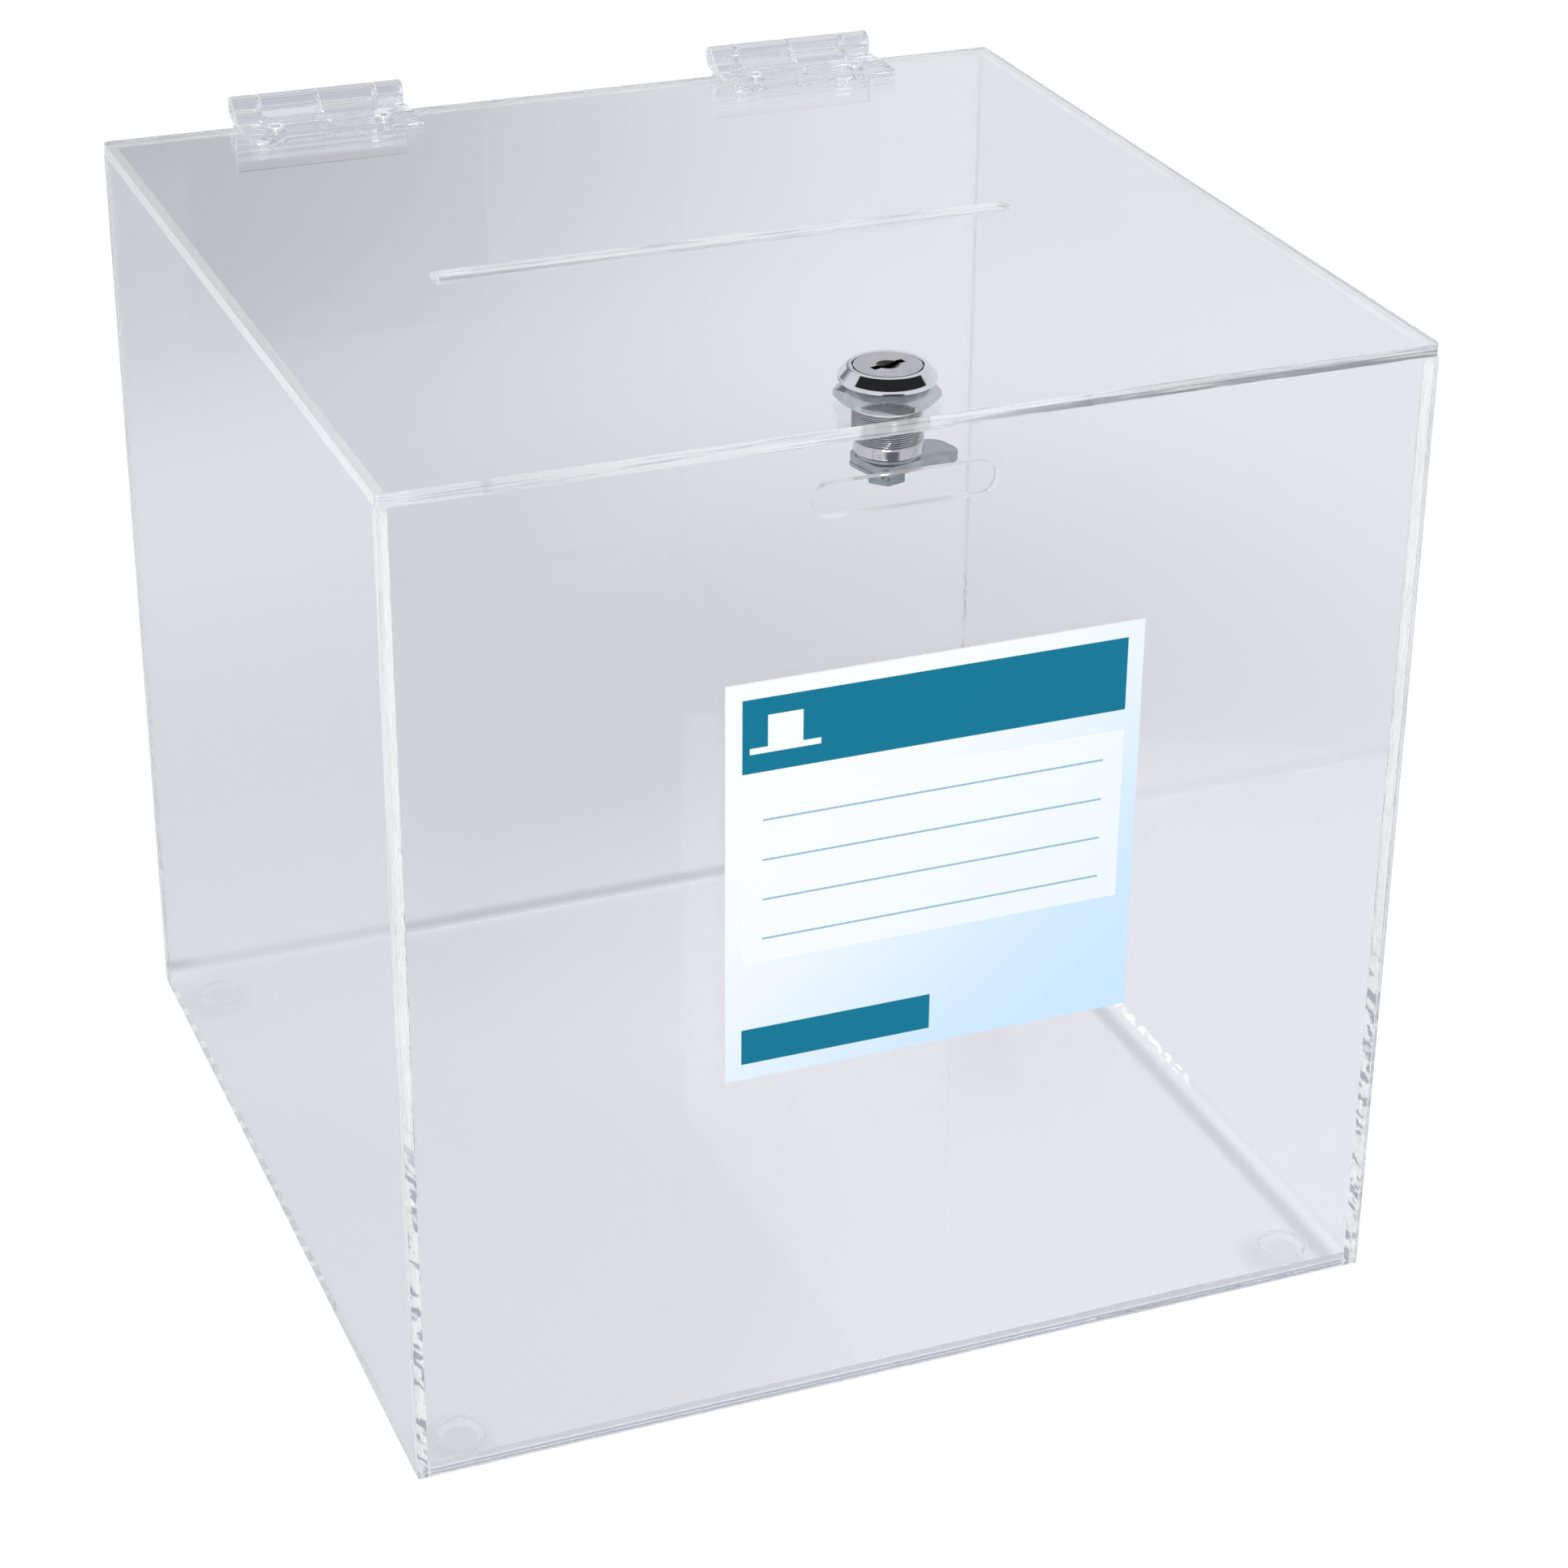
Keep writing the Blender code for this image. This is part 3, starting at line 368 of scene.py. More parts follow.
def printedCard():
    # blank printed form: a teal strip over the top with a slip above a slit in it, a white field with ruled
    # lines, and a pale blue ground that deepens to the lower right, all drawn in metres from the card's
    # corners, on the front only: the back and the edges are plain paper
    look, plan = cardLook, cardLayout
    material, tree, shader = newMaterial("printed_card", look["pale"], look["roughness"],
                                         Specular_IOR_Level=0.15)
    low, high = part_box("label_card")
    size = high - low
    middle = (low + high) / 2
    parts = tree.nodes.new("ShaderNodeSeparateXYZ")
    tree.links.new(tree.nodes.new("ShaderNodeTexCoord").outputs["Object"], parts.inputs[0])
    across, up = parts.outputs["X"], parts.outputs["Z"]

    def band(value, start, end, soft=0.00008):
        rise = addRange(tree, value, start - soft, start + soft, 0.0, 1.0)
        fall = addRange(tree, value, end - soft, end + soft, 1.0, 0.0)
        return addMath(tree, "MULTIPLY", rise, fall)

    def block(x0, x1, z0, z1):
        return addMath(tree, "MULTIPLY", band(across, x0, x1), band(up, z0, z1))

    slope = addMath(tree, "SUBTRACT", addMath(tree, "MULTIPLY", across, 0.8), up)
    deep = addRange(tree, slope, -high.z, -low.z + size.x * 0.3, 0.0, 1.0)
    color = addColorMix(tree, deep, look["white"], look["blue"])
    edge = plan["margin"]
    field = block(low.x + edge, high.x - edge, low.z + size.z * plan["fieldLow"],
                  high.z - size.z * plan["fieldHigh"])
    color = addColorMix(tree, addMath(tree, "MULTIPLY", field, plan["fieldCover"]), color, look["white"])
    strip = block(low.x + edge, high.x - edge, high.z - size.z * plan["stripDepth"], high.z - edge)
    color = addColorMix(tree, strip, color, look["teal"])
    centre = low.x + size.x * plan["markAcross"]
    level = high.z - size.z * plan["markLevel"]
    half, tall = plan["slip"]
    slip = block(centre - half, centre + half, level, level + tall)
    half, drop, rise = plan["slit"]
    slit = block(centre - half, centre + half, level + drop, level + rise)
    for mark in (slip, slit):
        color = addColorMix(tree, mark, color, look["white"])
    bar = block(low.x + edge, middle.x, low.z + edge, low.z + size.z * plan["barHeight"])
    color = addColorMix(tree, bar, color, look["teal"])
    first = addMath(tree, "SUBTRACT", up, low.z + size.z * plan["ruleFirst"])
    rule = addMath(tree, "PINGPONG", first, size.z * plan["rulePitch"])
    field = block(low.x + plan["ruleMargin"], high.x - plan["ruleMargin"], low.z + size.z * plan["ruleLow"],
                  high.z - size.z * plan["ruleHigh"])
    ruled = addMath(tree, "MULTIPLY", addRange(tree, rule, *plan["ruleWidth"], 1.0, 0.0), field)
    color = addColorMix(tree, ruled, color, look["line"])
    facing = tree.nodes.new("ShaderNodeSeparateXYZ")
    tree.links.new(tree.nodes.new("ShaderNodeTexCoord").outputs["Normal"], facing.inputs[0])
    plain = addMath(tree, "GREATER_THAN", facing.outputs["Y"], -0.5)
    tree.links.new(addColorMix(tree, plain, color, look["back"]), shader.inputs["Base Color"])
    grain = addNoise(tree, 1800.0, 2.0)
    addBump(tree, shader, grain, 0.08, 0.00005)
    tree.links.new(addRange(tree, grain, 0.3, 0.7, look["roughness"] - 0.06, look["roughness"] + 0.08),
                   shader.inputs["Roughness"])
    return material


faceMaterial = sheetFace()
edgeMaterials = [sheetEdge("acrylic_cut_edge_" + "xyz"[axis], axis, clear, acrylicLook[grey])
                 for axis, (clear, grey) in enumerate(zip(acrylicLook["edgeClear"],
                                                          ("rimGrey", "edgeGrey", "edgeGrey")))]
lidEndMaterial = sheetEdge("acrylic_lid_end", 2, acrylicLook["endClear"], acrylicLook["rimGrey"])
paintReflectedRun(edgeMaterials[2])
hingeMaterial = clearMoulding("hinge_clear")
hingeEndMaterial = clearMoulding("hinge_end", frosted=True)
footMaterial = clearMoulding("foot_clear")
padMaterial = clearMoulding("foot_pad")
glueMaterial = glueLine("cured_cement", cover=glueTint["seam"], dashes=0.9)
baseCementAndShadeMaterial = baseCementAndShade()
thinGlueMaterial = glueLine("thin_cement", cover=baseCementShadeTint["thin"], dashes=0.0)
metals = {name: metal(name, **look) for name, look in metalLooks.items()}
paintThreadRootShade(metals["thread_chrome"])
card = printedCard()

slotMaterials = {"acrylic": faceMaterial, "hinge_plastic": hingeMaterial, "foot_rubber": footMaterial,
                 "card": card, "chrome": metals["bright_chrome"], "zinc": metals["blue_zinc_painted_shade"],
                 "satin_steel": metals["satin_plug"], "brass": metals["dull_brass"]}
for name, obj in nodes.items():
    obj.data.materials.clear()
    obj.data.materials.append(slotMaterials[slotOf[name]])
print("materials ready")


# Helpers for pieces

def addPiece(name, mesh, materials, body, replaced=()):
    obj = bpy.data.objects.new(name, mesh)
    bpy.context.scene.collection.objects.link(obj)
    mesh.materials.clear()
    for material in materials:
        mesh.materials.append(material)
    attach(obj, body)
    if replaced:
        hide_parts(*replaced)
    return obj


def gridMesh(name, points, closedRows=False, closedColumns=False, caps=False):
    # quads between the neighbours of a (rows, columns, 3) grid of points; caps close the first and last row
    rows, columns = points.shape[:2]
    index = np.arange(rows * columns).reshape(rows, columns)
    if closedRows:
        index = np.vstack([index, index[:1]])
    if closedColumns:
        index = np.hstack([index, index[:, :1]])
    quads = np.stack([index[:-1, :-1], index[:-1, 1:], index[1:, 1:], index[1:, :-1]], axis=-1).reshape(-1, 4)
    faces = quads.tolist()
    if caps:
        faces.append(index[0, :columns][::-1].tolist())
        faces.append(index[-1, :columns].tolist())
    mesh = bpy.data.meshes.new(name)
    mesh.from_pydata(points.reshape(-1, 3).tolist(), [], faces)
    shape = bmesh.new()
    shape.from_mesh(mesh)
    bmesh.ops.remove_doubles(shape, verts=shape.verts, dist=1e-7)
    bmesh.ops.recalc_face_normals(shape, faces=shape.faces)
    shape.to_mesh(mesh)
    shape.free()
    return mesh


def ringRow(centre, radius, height, turn):
    # one ring of points: centre + radius (cos turn, sin turn) at one height
    return np.stack([centre.x + radius * np.cos(turn), centre.y + radius * np.sin(turn),
                     np.full_like(turn, height)], axis=-1)


def smoothBelow(mesh, degrees):
    mesh.shade_smooth()
    mesh.set_sharp_from_angle(angle=math.radians(degrees))


def mergedCopy(name, flatten=False):
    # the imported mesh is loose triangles, so its copy is welded first, and its flat faces joined for a bevel
    mesh = nodes[name].data.copy()
    shape = bmesh.new()
    shape.from_mesh(mesh)
    bmesh.ops.remove_doubles(shape, verts=shape.verts, dist=1e-6)
    if flatten:
        bmesh.ops.dissolve_limit(shape, angle_limit=math.radians(0.5), verts=shape.verts, edges=shape.edges)
    shape.to_mesh(mesh)
    shape.free()
    return mesh


def roundEdges(obj, width, segments=2):
    bevel = obj.modifiers.new("rounded edges", "BEVEL")
    bevel.width = width
    bevel.segments = segments
    bevel.limit_method = "ANGLE"
    bevel.angle_limit = math.radians(35)
    bevel.harden_normals = False


# Lid sheet: broad faces clear, cut edges milky

def facetSpread(mesh, axis):
    # how far each triangle reaches along one axis; 0 on a flat face across that axis, slivers too
    points = np.zeros(3 * len(mesh.vertices))
    mesh.vertices.foreach_get("co", points)
    corners = np.zeros(len(mesh.loops), dtype=np.int32)
    mesh.loops.foreach_get("vertex_index", corners)
    return np.ptp(points.reshape(-1, 3)[corners, axis].reshape(-1, 3), axis=1)


def buildLid():
    mesh = mergedCopy("lid_panel")
    isEdge = facetSpread(mesh, 2) > 1e-5
    low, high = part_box("lid_panel")
    middle = np.zeros(3 * len(mesh.polygons))
    mesh.polygons.foreach_get("center", middle)
    isEnd = isEdge & (np.abs(middle[::3]) > high.x - 1e-5)
    materials = (faceMaterial, edgeMaterials[2], lidEndMaterial)
    addPiece("clear_lid_panel", mesh, materials, "lid", ("lid_panel",))
    mesh.polygons.foreach_set("material_index", isEdge.astype(np.int32) + isEnd)
    smoothBelow(mesh, 25)
    mesh.polygons.foreach_set("use_smooth", isEdge)


# Case: five sheets cemented at their edges, so the light runs from one into the next as in one piece

casePanels = ("base_panel", "front_panel", "back_panel", "left_panel", "right_panel")


def slotRim():
    # outline of the cam slot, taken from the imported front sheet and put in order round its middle
    mesh = nodes["front_panel"].data
    points = np.zeros(3 * len(mesh.vertices))
    mesh.vertices.foreach_get("co", points)
    points = points.reshape(-1, 3)
    low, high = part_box("front_panel")
    inside = (np.abs(points[:, 1] - low.y) < 1e-6) & (np.abs(points[:, 0]) < high.x - 0.001)
    rim = np.unique(np.round(points[inside][:, [0, 2]], 7), axis=0)
    middle = (rim.min(axis=0) + rim.max(axis=0)) / 2
    return rim[np.argsort(np.arctan2(rim[:, 1] - middle[1], rim[:, 0] - middle[0]))]


def buildCase():
    # a grid of 3 x 3 x 2 blocks, solid but for the middle of the upper layer; a face wherever solid meets air
    boxes = {name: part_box(name) for name in casePanels}
    cuts = [[boxes["left_panel"][0].x, boxes["left_panel"][1].x, boxes["right_panel"][0].x,
             boxes["right_panel"][1].x],
            [boxes["front_panel"][0].y, boxes["front_panel"][1].y, boxes["back_panel"][0].y,
             boxes["back_panel"][1].y],
            [boxes["base_panel"][0].z, boxes["base_panel"][1].z, boxes["front_panel"][1].z]]
    shape = bmesh.new()
    solid = np.ones((5, 5, 4), dtype=bool)
    solid[[0, -1]] = solid[:, [0, -1]] = solid[:, :, [0, -1]] = False
    solid[2, 2, 2] = False
    window = {}
    for cell in np.argwhere(solid):
        for axis in range(3):
            for side in (0, 1):
                beyond = cell.copy()
                beyond[axis] += 2 * side - 1
                if solid[tuple(beyond)]:
                    continue
                others = [other for other in range(3) if other != axis]
                corners = []
                for first, second in ((0, 0), (1, 0), (1, 1), (0, 1)):
                    step = [0, 0, 0]
                    step[axis], step[others[0]], step[others[1]] = side, first, second
                    corners.append(shape.verts.new([cuts[k][cell[k] - 1 + step[k]] for k in range(3)]))
                if axis == 1 and tuple(cell) == (2, 1, 2):
                    window[side] = corners
                    continue
                face = shape.faces.new(corners)
                wallX, wallY = cell[0] != 2, cell[1] != 2
                if (axis == 2 and cell[2] == 2) or (axis == 0 and wallX and wallY):
                    face.material_index = 2 if wallY else 1
    rim = slotRim()
    rings = []
    for side, corners in window.items():
        ring = [shape.verts.new((x, cuts[1][side], z)) for x, z in rim]
        rings.append(ring)
        edges = [shape.edges.new(pair) for loop in (corners, ring) for pair in zip(loop, loop[1:] + loop[:1])]
        bmesh.ops.triangle_fill(shape, use_beauty=True, edges=edges, normal=(0, -1, 0))
    tunnel = []
    for step in range(len(rim)):
        after = (step + 1) % len(rim)
        tunnel.append(shape.faces.new((rings[0][step], rings[0][after], rings[1][after], rings[1][step])))
        tunnel[-1].material_index = 2
    bmesh.ops.remove_doubles(shape, verts=shape.verts, dist=1e-7)
    bmesh.ops.recalc_face_normals(shape, faces=shape.faces)
    mesh = bpy.data.meshes.new("clear_case")
    shape.to_mesh(mesh)
    shape.free()
    materials = (faceMaterial, edgeMaterials[0], edgeMaterials[1])
    # the faces' materials are kept aside, because addPiece empties the mesh's slots first
    indices = np.zeros(len(mesh.polygons), dtype=np.int32)
    mesh.polygons.foreach_get("material_index", indices)
    addPiece("clear_case", mesh, materials, "case", casePanels)
    mesh.polygons.foreach_set("material_index", indices)


# Cement in the seams, as thin bars inside the clear piece

# waves: turns along the strip in radians, height, and how far each seed shifts them
glueLook = {"thickness": 0.00012, "stations": 160, "waver": 0.05, "inset": 0.00015,
            "waves": ((37, 1.0, 1.0), (91, 0.6, 2.1), (173, 0.4, 3.7))}


def glueStrip(name, low, high, thin, seed):
    # a thin bar from corner to corner, its long sides wandering by a few waves of unlike length
    low, high = np.array(low), np.array(high)
    size = high - low
    long = int(np.argmax(size))
    wide = 3 - long - thin
    middle = (low + high) / 2
    t = np.linspace(0, 1, glueLook["stations"])
    wave = sum(tall * np.sin(turns * t + shift * seed) for turns, tall, shift in glueLook["waves"])
    half = size[wide] / 2 - glueLook["inset"] - np.abs(wave) * glueLook["waver"] * size[wide] / 4
    points = np.zeros((len(t), 4, 3))
    points[:, :, long] = (low[long] + glueLook["inset"] + t * (size[long] - 2 * glueLook["inset"]))[:, None]
    points[:, :, wide] = middle[wide] + half[:, None] * np.array([-1, 1, 1, -1])
    points[:, :, thin] = middle[thin] + glueLook["thickness"] / 2 * np.array([-1, -1, 1, 1])
    return gridMesh(name, points, closedColumns=True, caps=True)


def buildGlue():
    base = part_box("base_panel")
    front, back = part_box("front_panel"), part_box("back_panel")
    for seed, side in enumerate(("left", "right")):
        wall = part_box(side + "_panel")
        for end, y in (("front", front[1].y), ("back", back[0].y)):
            strip = glueStrip(f"glue_{end}_{side}", (wall[0].x, y, wall[0].z), (wall[1].x, y, wall[1].z), 1,
                              seed)
            addPiece(strip.name, strip, (glueMaterial,), "case")
        x = wall[1].x if side == "left" else wall[0].x
        strip = glueStrip("glue_base_" + side, (x, front[1].y, base[0].z), (x, back[0].y, base[1].z), 0,
                          seed + 4)
        addPiece(strip.name, strip, (thinGlueMaterial,), "case")
    ends = (("front", front[1].y, baseCementAndShadeMaterial), ("back", back[0].y, thinGlueMaterial))
    for seed, (end, y, film) in enumerate(ends):
        strip = glueStrip("glue_base_" + end, (base[0].x, y, base[0].z), (base[1].x, y, base[1].z), 1,
                          seed + 6)
        addPiece(strip.name, strip, (film,), "case")


# Bevelled copies of the small metal pieces

bevelOf = {"cam": 0.00022, "cam_washer": 0.00015, "cam_screw": 0.0002, "lock_plug": 0.00006}
keyholeLook = {"radius": 0.0047, "start": 0.00008, "depth": 0.014}


def insideKeyhole(mesh):
    # faces of the dish and the keyway, which take the painted shade: near the axis and below the plug's face,
    # but above the cam's shaft
    low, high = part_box("lock_plug")
    middle = np.zeros(3 * len(mesh.polygons))
    mesh.polygons.foreach_get("center", middle)
    middle = middle.reshape(-1, 3)
    radius = np.hypot(middle[:, 0] - (low.x + high.x) / 2, middle[:, 1] - (low.y + high.y) / 2)
    depth = high.z - middle[:, 2]
    return (radius < keyholeLook["radius"]) & (depth > keyholeLook["start"]) & (depth < keyholeLook["depth"])


def buildMetalPieces():
    for name, width in bevelOf.items():
        mesh = mergedCopy(name, flatten=True)
        smoothBelow(mesh, 30)
        materials = (slotMaterials[slotOf[name]], metals["keyhole_painted_shade"])
        obj = addPiece("finished_" + name, mesh, materials, bodyOf[name], (name,))
        if name == "lock_plug":
            mesh.polygons.foreach_set("material_index", insideKeyhole(mesh).astype(np.int32))
        roundEdges(obj, width)


# Lock nut with turned corners

nutLook = {"acrossFlats": 0.0208, "around": 360, "crown": 0.0085, "slope": 0.743, "foot": 0.0102,
           "footSlope": 1.6, "bore": 0.0081, "boreEdge": 0.0004, "turn": 8.0, "softCorner": 0.00015,
           "coneEnd": 0.0028, "coneRows": 40, "sideStart": 0.0029, "sideRows": 16}


def buildNut():
    # radius = the least of the flats' distance, a broad cone from the top and a steeper one at the foot;
    # one ring of points for each height, and the flats follow half width / cos(angle from the facet's middle)
    low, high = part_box("lock_nut")
    centre = (low + high) / 2
    look = nutLook
    half = look["acrossFlats"] / 2
    turn = np.linspace(0, 2 * np.pi, look["around"], endpoint=False)
    sector = (turn - math.radians(look["turn"]) + np.pi / 6) % (np.pi / 3) - np.pi / 6
    flats = half / np.cos(sector)
    flats = np.minimum(flats, half / math.cos(math.pi / 6) - look["softCorner"])
    drop = np.concatenate([np.linspace(0, look["coneEnd"], look["coneRows"]),
                           np.linspace(look["sideStart"], high.z - low.z, look["sideRows"])])
    cone = np.minimum(look["crown"] + drop / look["slope"],
                      look["foot"] + (high.z - low.z - drop) / look["slope"] * look["footSlope"])
    rows = [ringRow(centre, np.minimum(flats, limit), high.z - down, turn) for down, limit in zip(drop, cone)]
    bore, edge = look["bore"], look["boreEdge"]
    rows += [ringRow(centre, radius, z, turn) for radius, z in
             ((bore + edge, low.z), (bore, low.z + edge), (bore, high.z - edge), (bore + edge, high.z))]
    mesh = gridMesh("turned_nut", np.array(rows), closedRows=True, closedColumns=True)
    smoothBelow(mesh, 18)
    addPiece("turned_nut", mesh, (metals["turned_zinc"],), "lid", ("lock_nut",))


# Lock housing with a running thread

threadLook = {"pitch": 0.0005, "depth": 0.0003, "sharp": 1.35, "flat": 0.15, "around": 144, "rowsPerPitch": 8,
              "body": 0.0078, "band": 0.0024, "headTop": 0.0090, "rim": 0.0010, "recess": 0.0079,
              "recessDepth": 0.0017, "bore": 0.0058, "lip": 0.00012, "seat": 0.0003,
              "chamferRings": (0, 0.05, 0.95, 1)}


def buildHousing():
    # thread radius = body radius less depth times a triangle wave of (height / pitch - turn), faded out at
    # the lower end; the head above and the band below are rings of points along the turned profile
    look = threadLook
    low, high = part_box("lock_housing")
    centre = (low + high) / 2
    headRadius = (high.x - low.x) / 2
    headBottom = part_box("lock_nut")[1].z + look["seat"]
    bandTop = low.z + look["band"]
    turn = np.linspace(0, 2 * np.pi, look["around"], endpoint=False)
    rows = int((headBottom - bandTop) / look["pitch"] * look["rowsPerPitch"])
    height = np.linspace(headBottom, bandTop, rows)
    phase = (height[:, None] / look["pitch"] - turn[None, :] / (2 * np.pi)) % 1
    ridge = np.clip((1 - np.abs(2 * phase - 1)) * look["sharp"] - look["flat"], 0, 1)
    fade = np.clip((height - bandTop) / look["pitch"], 0, 1)[:, None]
    body = look["body"] - look["depth"] * (1 - ridge) * fade
    lip = look["lip"]
    upper = np.array((look["headTop"], high.z - lip / 2))
    lower = np.array((headRadius - lip / 2, headBottom + look["rim"] + lip / 2))
    chamfer = [upper + (lower - upper) * share for share in look["chamferRings"]]
    head = [(look["headTop"] - lip, high.z), *chamfer, (headRadius, headBottom + look["rim"] - lip),
            (headRadius, headBottom + lip), (headRadius - lip, headBottom)]
    foot = [(look["body"], bandTop - lip), (look["body"], low.z + 2 * lip), (look["body"] - 2 * lip, low.z),
            (look["bore"], low.z), (look["bore"], high.z - look["recessDepth"]),
            (look["recess"], high.z - look["recessDepth"]), (look["recess"], high.z - 2 * lip),
            (look["recess"] + lip, high.z)]
    grid = [ringRow(centre, radius, z, turn) for radius, z in head]
    grid += [ringRow(centre, body[row], height[row], turn) for row in range(rows)]
    grid += [ringRow(centre, radius, z, turn) for radius, z in foot]
    mesh = gridMesh("threaded_housing", np.array(grid), closedRows=True, closedColumns=True)
    smoothBelow(mesh, 30)
    middle = np.zeros(3 * len(mesh.polygons))
    mesh.polygons.foreach_get("center", middle)
    materials = (metals["bright_chrome"], metals["thread_chrome"])
    addPiece("threaded_housing", mesh, materials, "lid", ("lock_housing",))
    isBody = middle.reshape(-1, 3)[:, 2] < headBottom
    mesh.polygons.foreach_set("material_index", isBody.astype(np.int32))


# Hinges: moulded leaves with frosted ends, rings round the holes and a gate mark in the middle

hingeLook = {"holeSpacing": 0.029, "ringRadius": 0.0021, "ringTube": 0.00028, "gateRadius": 0.0008,
             "gateHeight": 0.0004, "lidHoleSetback": 0.0088, "backHoleSetback": 0.00715,
             "leafThickness": 0.0018, "rounding": 0.00022, "seat": 0.0003}


def torusMesh(name, centre, across, along, radius, tube):
    # circle of circles: centre + (radius + tube cos v)(across cos u + along sin u) + tube sin v * normal
    u = np.linspace(0, 2 * np.pi, 40, endpoint=False)[:, None, None]
    v = np.linspace(0, 2 * np.pi, 12, endpoint=False)[None, :, None]
    across, along = np.array(across, float), np.array(along, float)
    spoke = across * np.cos(u) + along * np.sin(u)
    normal = np.cross(across, along)
    points = np.array(centre) + (radius + tube * np.cos(v)) * spoke + tube * np.sin(v) * normal
    mesh = gridMesh(name, points, closedRows=True, closedColumns=True)
    mesh.shade_smooth()
    return mesh


def domeMesh(name, centre, across, along, radius, height):
    # half ellipsoid with a short skirt that sinks into the plate below it
    bend = np.concatenate([[-0.35], np.linspace(0, np.pi / 2, 8)])[:, None, None]
    u = np.linspace(0, 2 * np.pi, 28, endpoint=False)[None, :, None]
    across, along = np.array(across, float), np.array(along, float)
    spoke = across * np.cos(u) + along * np.sin(u)
    normal = np.cross(across, along)
    points = np.array(centre) + radius * np.cos(bend) * spoke + height * np.sin(bend) * normal
    mesh = gridMesh(name, points, closedColumns=True, caps=True)
    mesh.shade_smooth()
    return mesh


def buildLeaf(name, across, along, ringCentre, body):
    mesh = mergedCopy(name, flatten=True)
    normals = np.zeros(3 * len(mesh.polygons))
    mesh.polygons.foreach_get("normal", normals)
    isEnd = np.abs(normals.reshape(-1, 3)[:, 0]) > 0.9
    materials = (hingeMaterial, hingeEndMaterial)
    leaf = addPiece("moulded_" + name, mesh, materials, body, (name,))
    mesh.polygons.foreach_set("material_index", isEnd.astype(np.int32))
    smoothBelow(mesh, 25)
    roundEdges(leaf, hingeLook["rounding"])
    look = hingeLook
    for number, shift in enumerate((-look["holeSpacing"] / 2, look["holeSpacing"] / 2)):
        centre = ringCentre + Vector((shift, 0, 0))
        ring = torusMesh(f"{name}_ring_{number}", centre, across, along, look["ringRadius"], look["ringTube"])
        addPiece(f"{name}_ring_{number}", ring, (hingeEndMaterial,), body)
    gate = domeMesh(name + "_gate_mark", ringCentre, across, along, look["gateRadius"], look["gateHeight"])
    addPiece(name + "_gate_mark", gate, (hingeEndMaterial,), body)


def buildHinges():
    look = hingeLook
    for side in ("left", "right"):
        low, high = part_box(side + "_hinge_lid_leaf")
        middle = (low.x + high.x) / 2
        top = Vector((middle, low.y + look["lidHoleSetback"], low.z + look["leafThickness"]))
        buildLeaf(side + "_hinge_lid_leaf", (1, 0, 0), (0, 1, 0), top, "lid")
        low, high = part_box(side + "_hinge_back_leaf")
        face = Vector((middle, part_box("back_panel")[1].y + look["seat"] + look["leafThickness"],
                       low.z + look["backHoleSetback"]))
        buildLeaf(side + "_hinge_back_leaf", (-1, 0, 0), (0, 0, 1), face, "case")


# Clear domed feet

footLook = {"around": 64, "rings": 14, "pad": 0.67, "band": 0.0008, "edge": 0.0002}


def buildFeet():
    # turned dome: a flat pad, a quarter ellipse out to the rim and a short straight band
    for name in sorted(nodes):
        if not name.startswith("foot_"):
            continue
        low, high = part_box(name)
        centre = (low + high) / 2
        radius = (high.x - low.x) / 2
        pad = radius * footLook["pad"]
        bandFoot = high.z - footLook["band"]
        drop = bandFoot - low.z
        bend = np.linspace(0, np.pi / 2, footLook["rings"])
        profile = [(0.0, low.z), (pad * 0.5, low.z)]
        profile += [(pad + (radius - pad) * math.sin(angle), bandFoot - drop * math.cos(angle))
                    for angle in bend]
        edge = footLook["edge"]
        profile += [(radius, high.z - edge), (radius - edge, high.z), (radius * 0.5, high.z), (0.0, high.z)]
        turn = np.linspace(0, 2 * np.pi, footLook["around"], endpoint=False)
        points = np.array([ringRow(centre, out, z, turn) for out, z in profile])
        mesh = gridMesh("clear_" + name, points, closedColumns=True)
        smoothBelow(mesh, 40)
        middle = np.zeros(3 * len(mesh.polygons))
        mesh.polygons.foreach_get("center", middle)
        addPiece("clear_" + name, mesh, (footMaterial, padMaterial), "case", (name,))
        mesh.polygons.foreach_set("material_index", (middle[2::3] < low.z + 1e-5).astype(np.int32))


buildLid()
buildCase()
buildGlue()
buildMetalPieces()
buildNut()
buildHousing()
buildHinges()
buildFeet()
print("pieces built")


# Floor, world, lamps and camera

studio = {"floorSize": 12.0, "tone": (0.816, 0.826, 0.870), "glow": 0.85, "cameraGlow": 0.86,
          "cameraPaper": 0.2, "keyPower": 20.0, "keySize": 0.9, "keyPlace": (-0.9, -1.7, 1.5),
          "keyAim": (0.0, 0.0, 0.1), "sky": (0.735, 0.745, 0.775), "bandReach": 0.135, "bandFade": 0.006,
          "upward": (0.14, 0.24)}
# painted shade on the floor: soft darker patches where the box's shadow and the lamp's falloff fall
floorShadePatches = [
    {"place": (-0.109, 0.974, 0.0), "inner": 0.265, "outer": 0.599, "color": (0.612, 0.619, 0.654)},
    {"place": (0.051, 0.257, 0.0), "inner": 0.013, "outer": 0.405, "color": (0.613, 0.620, 0.655)},
    {"place": (0.153, -0.032, 0.0), "inner": 0.105, "outer": 0.268, "color": (0.800, 0.809, 0.855)},
    {"place": (-0.101, -0.040, 0.0), "inner": 0.070, "outer": 0.150, "color": (0.729, 0.737, 0.778)}]
floorBands = [{"axis": "X", "start": 0.1190, "end": 0.1232, "soft": 0.0016, "shade": 0.74},
              {"axis": "X", "start": 0.1242, "end": 0.1300, "soft": 0.0008, "shade": 1.05},
              {"axis": "Y", "start": 0.1346, "end": 0.1395, "soft": 0.0022, "shade": 0.76},
              {"axis": "Y", "start": 0.1245, "end": 0.1325, "soft": 0.0016, "shade": 1.07}]
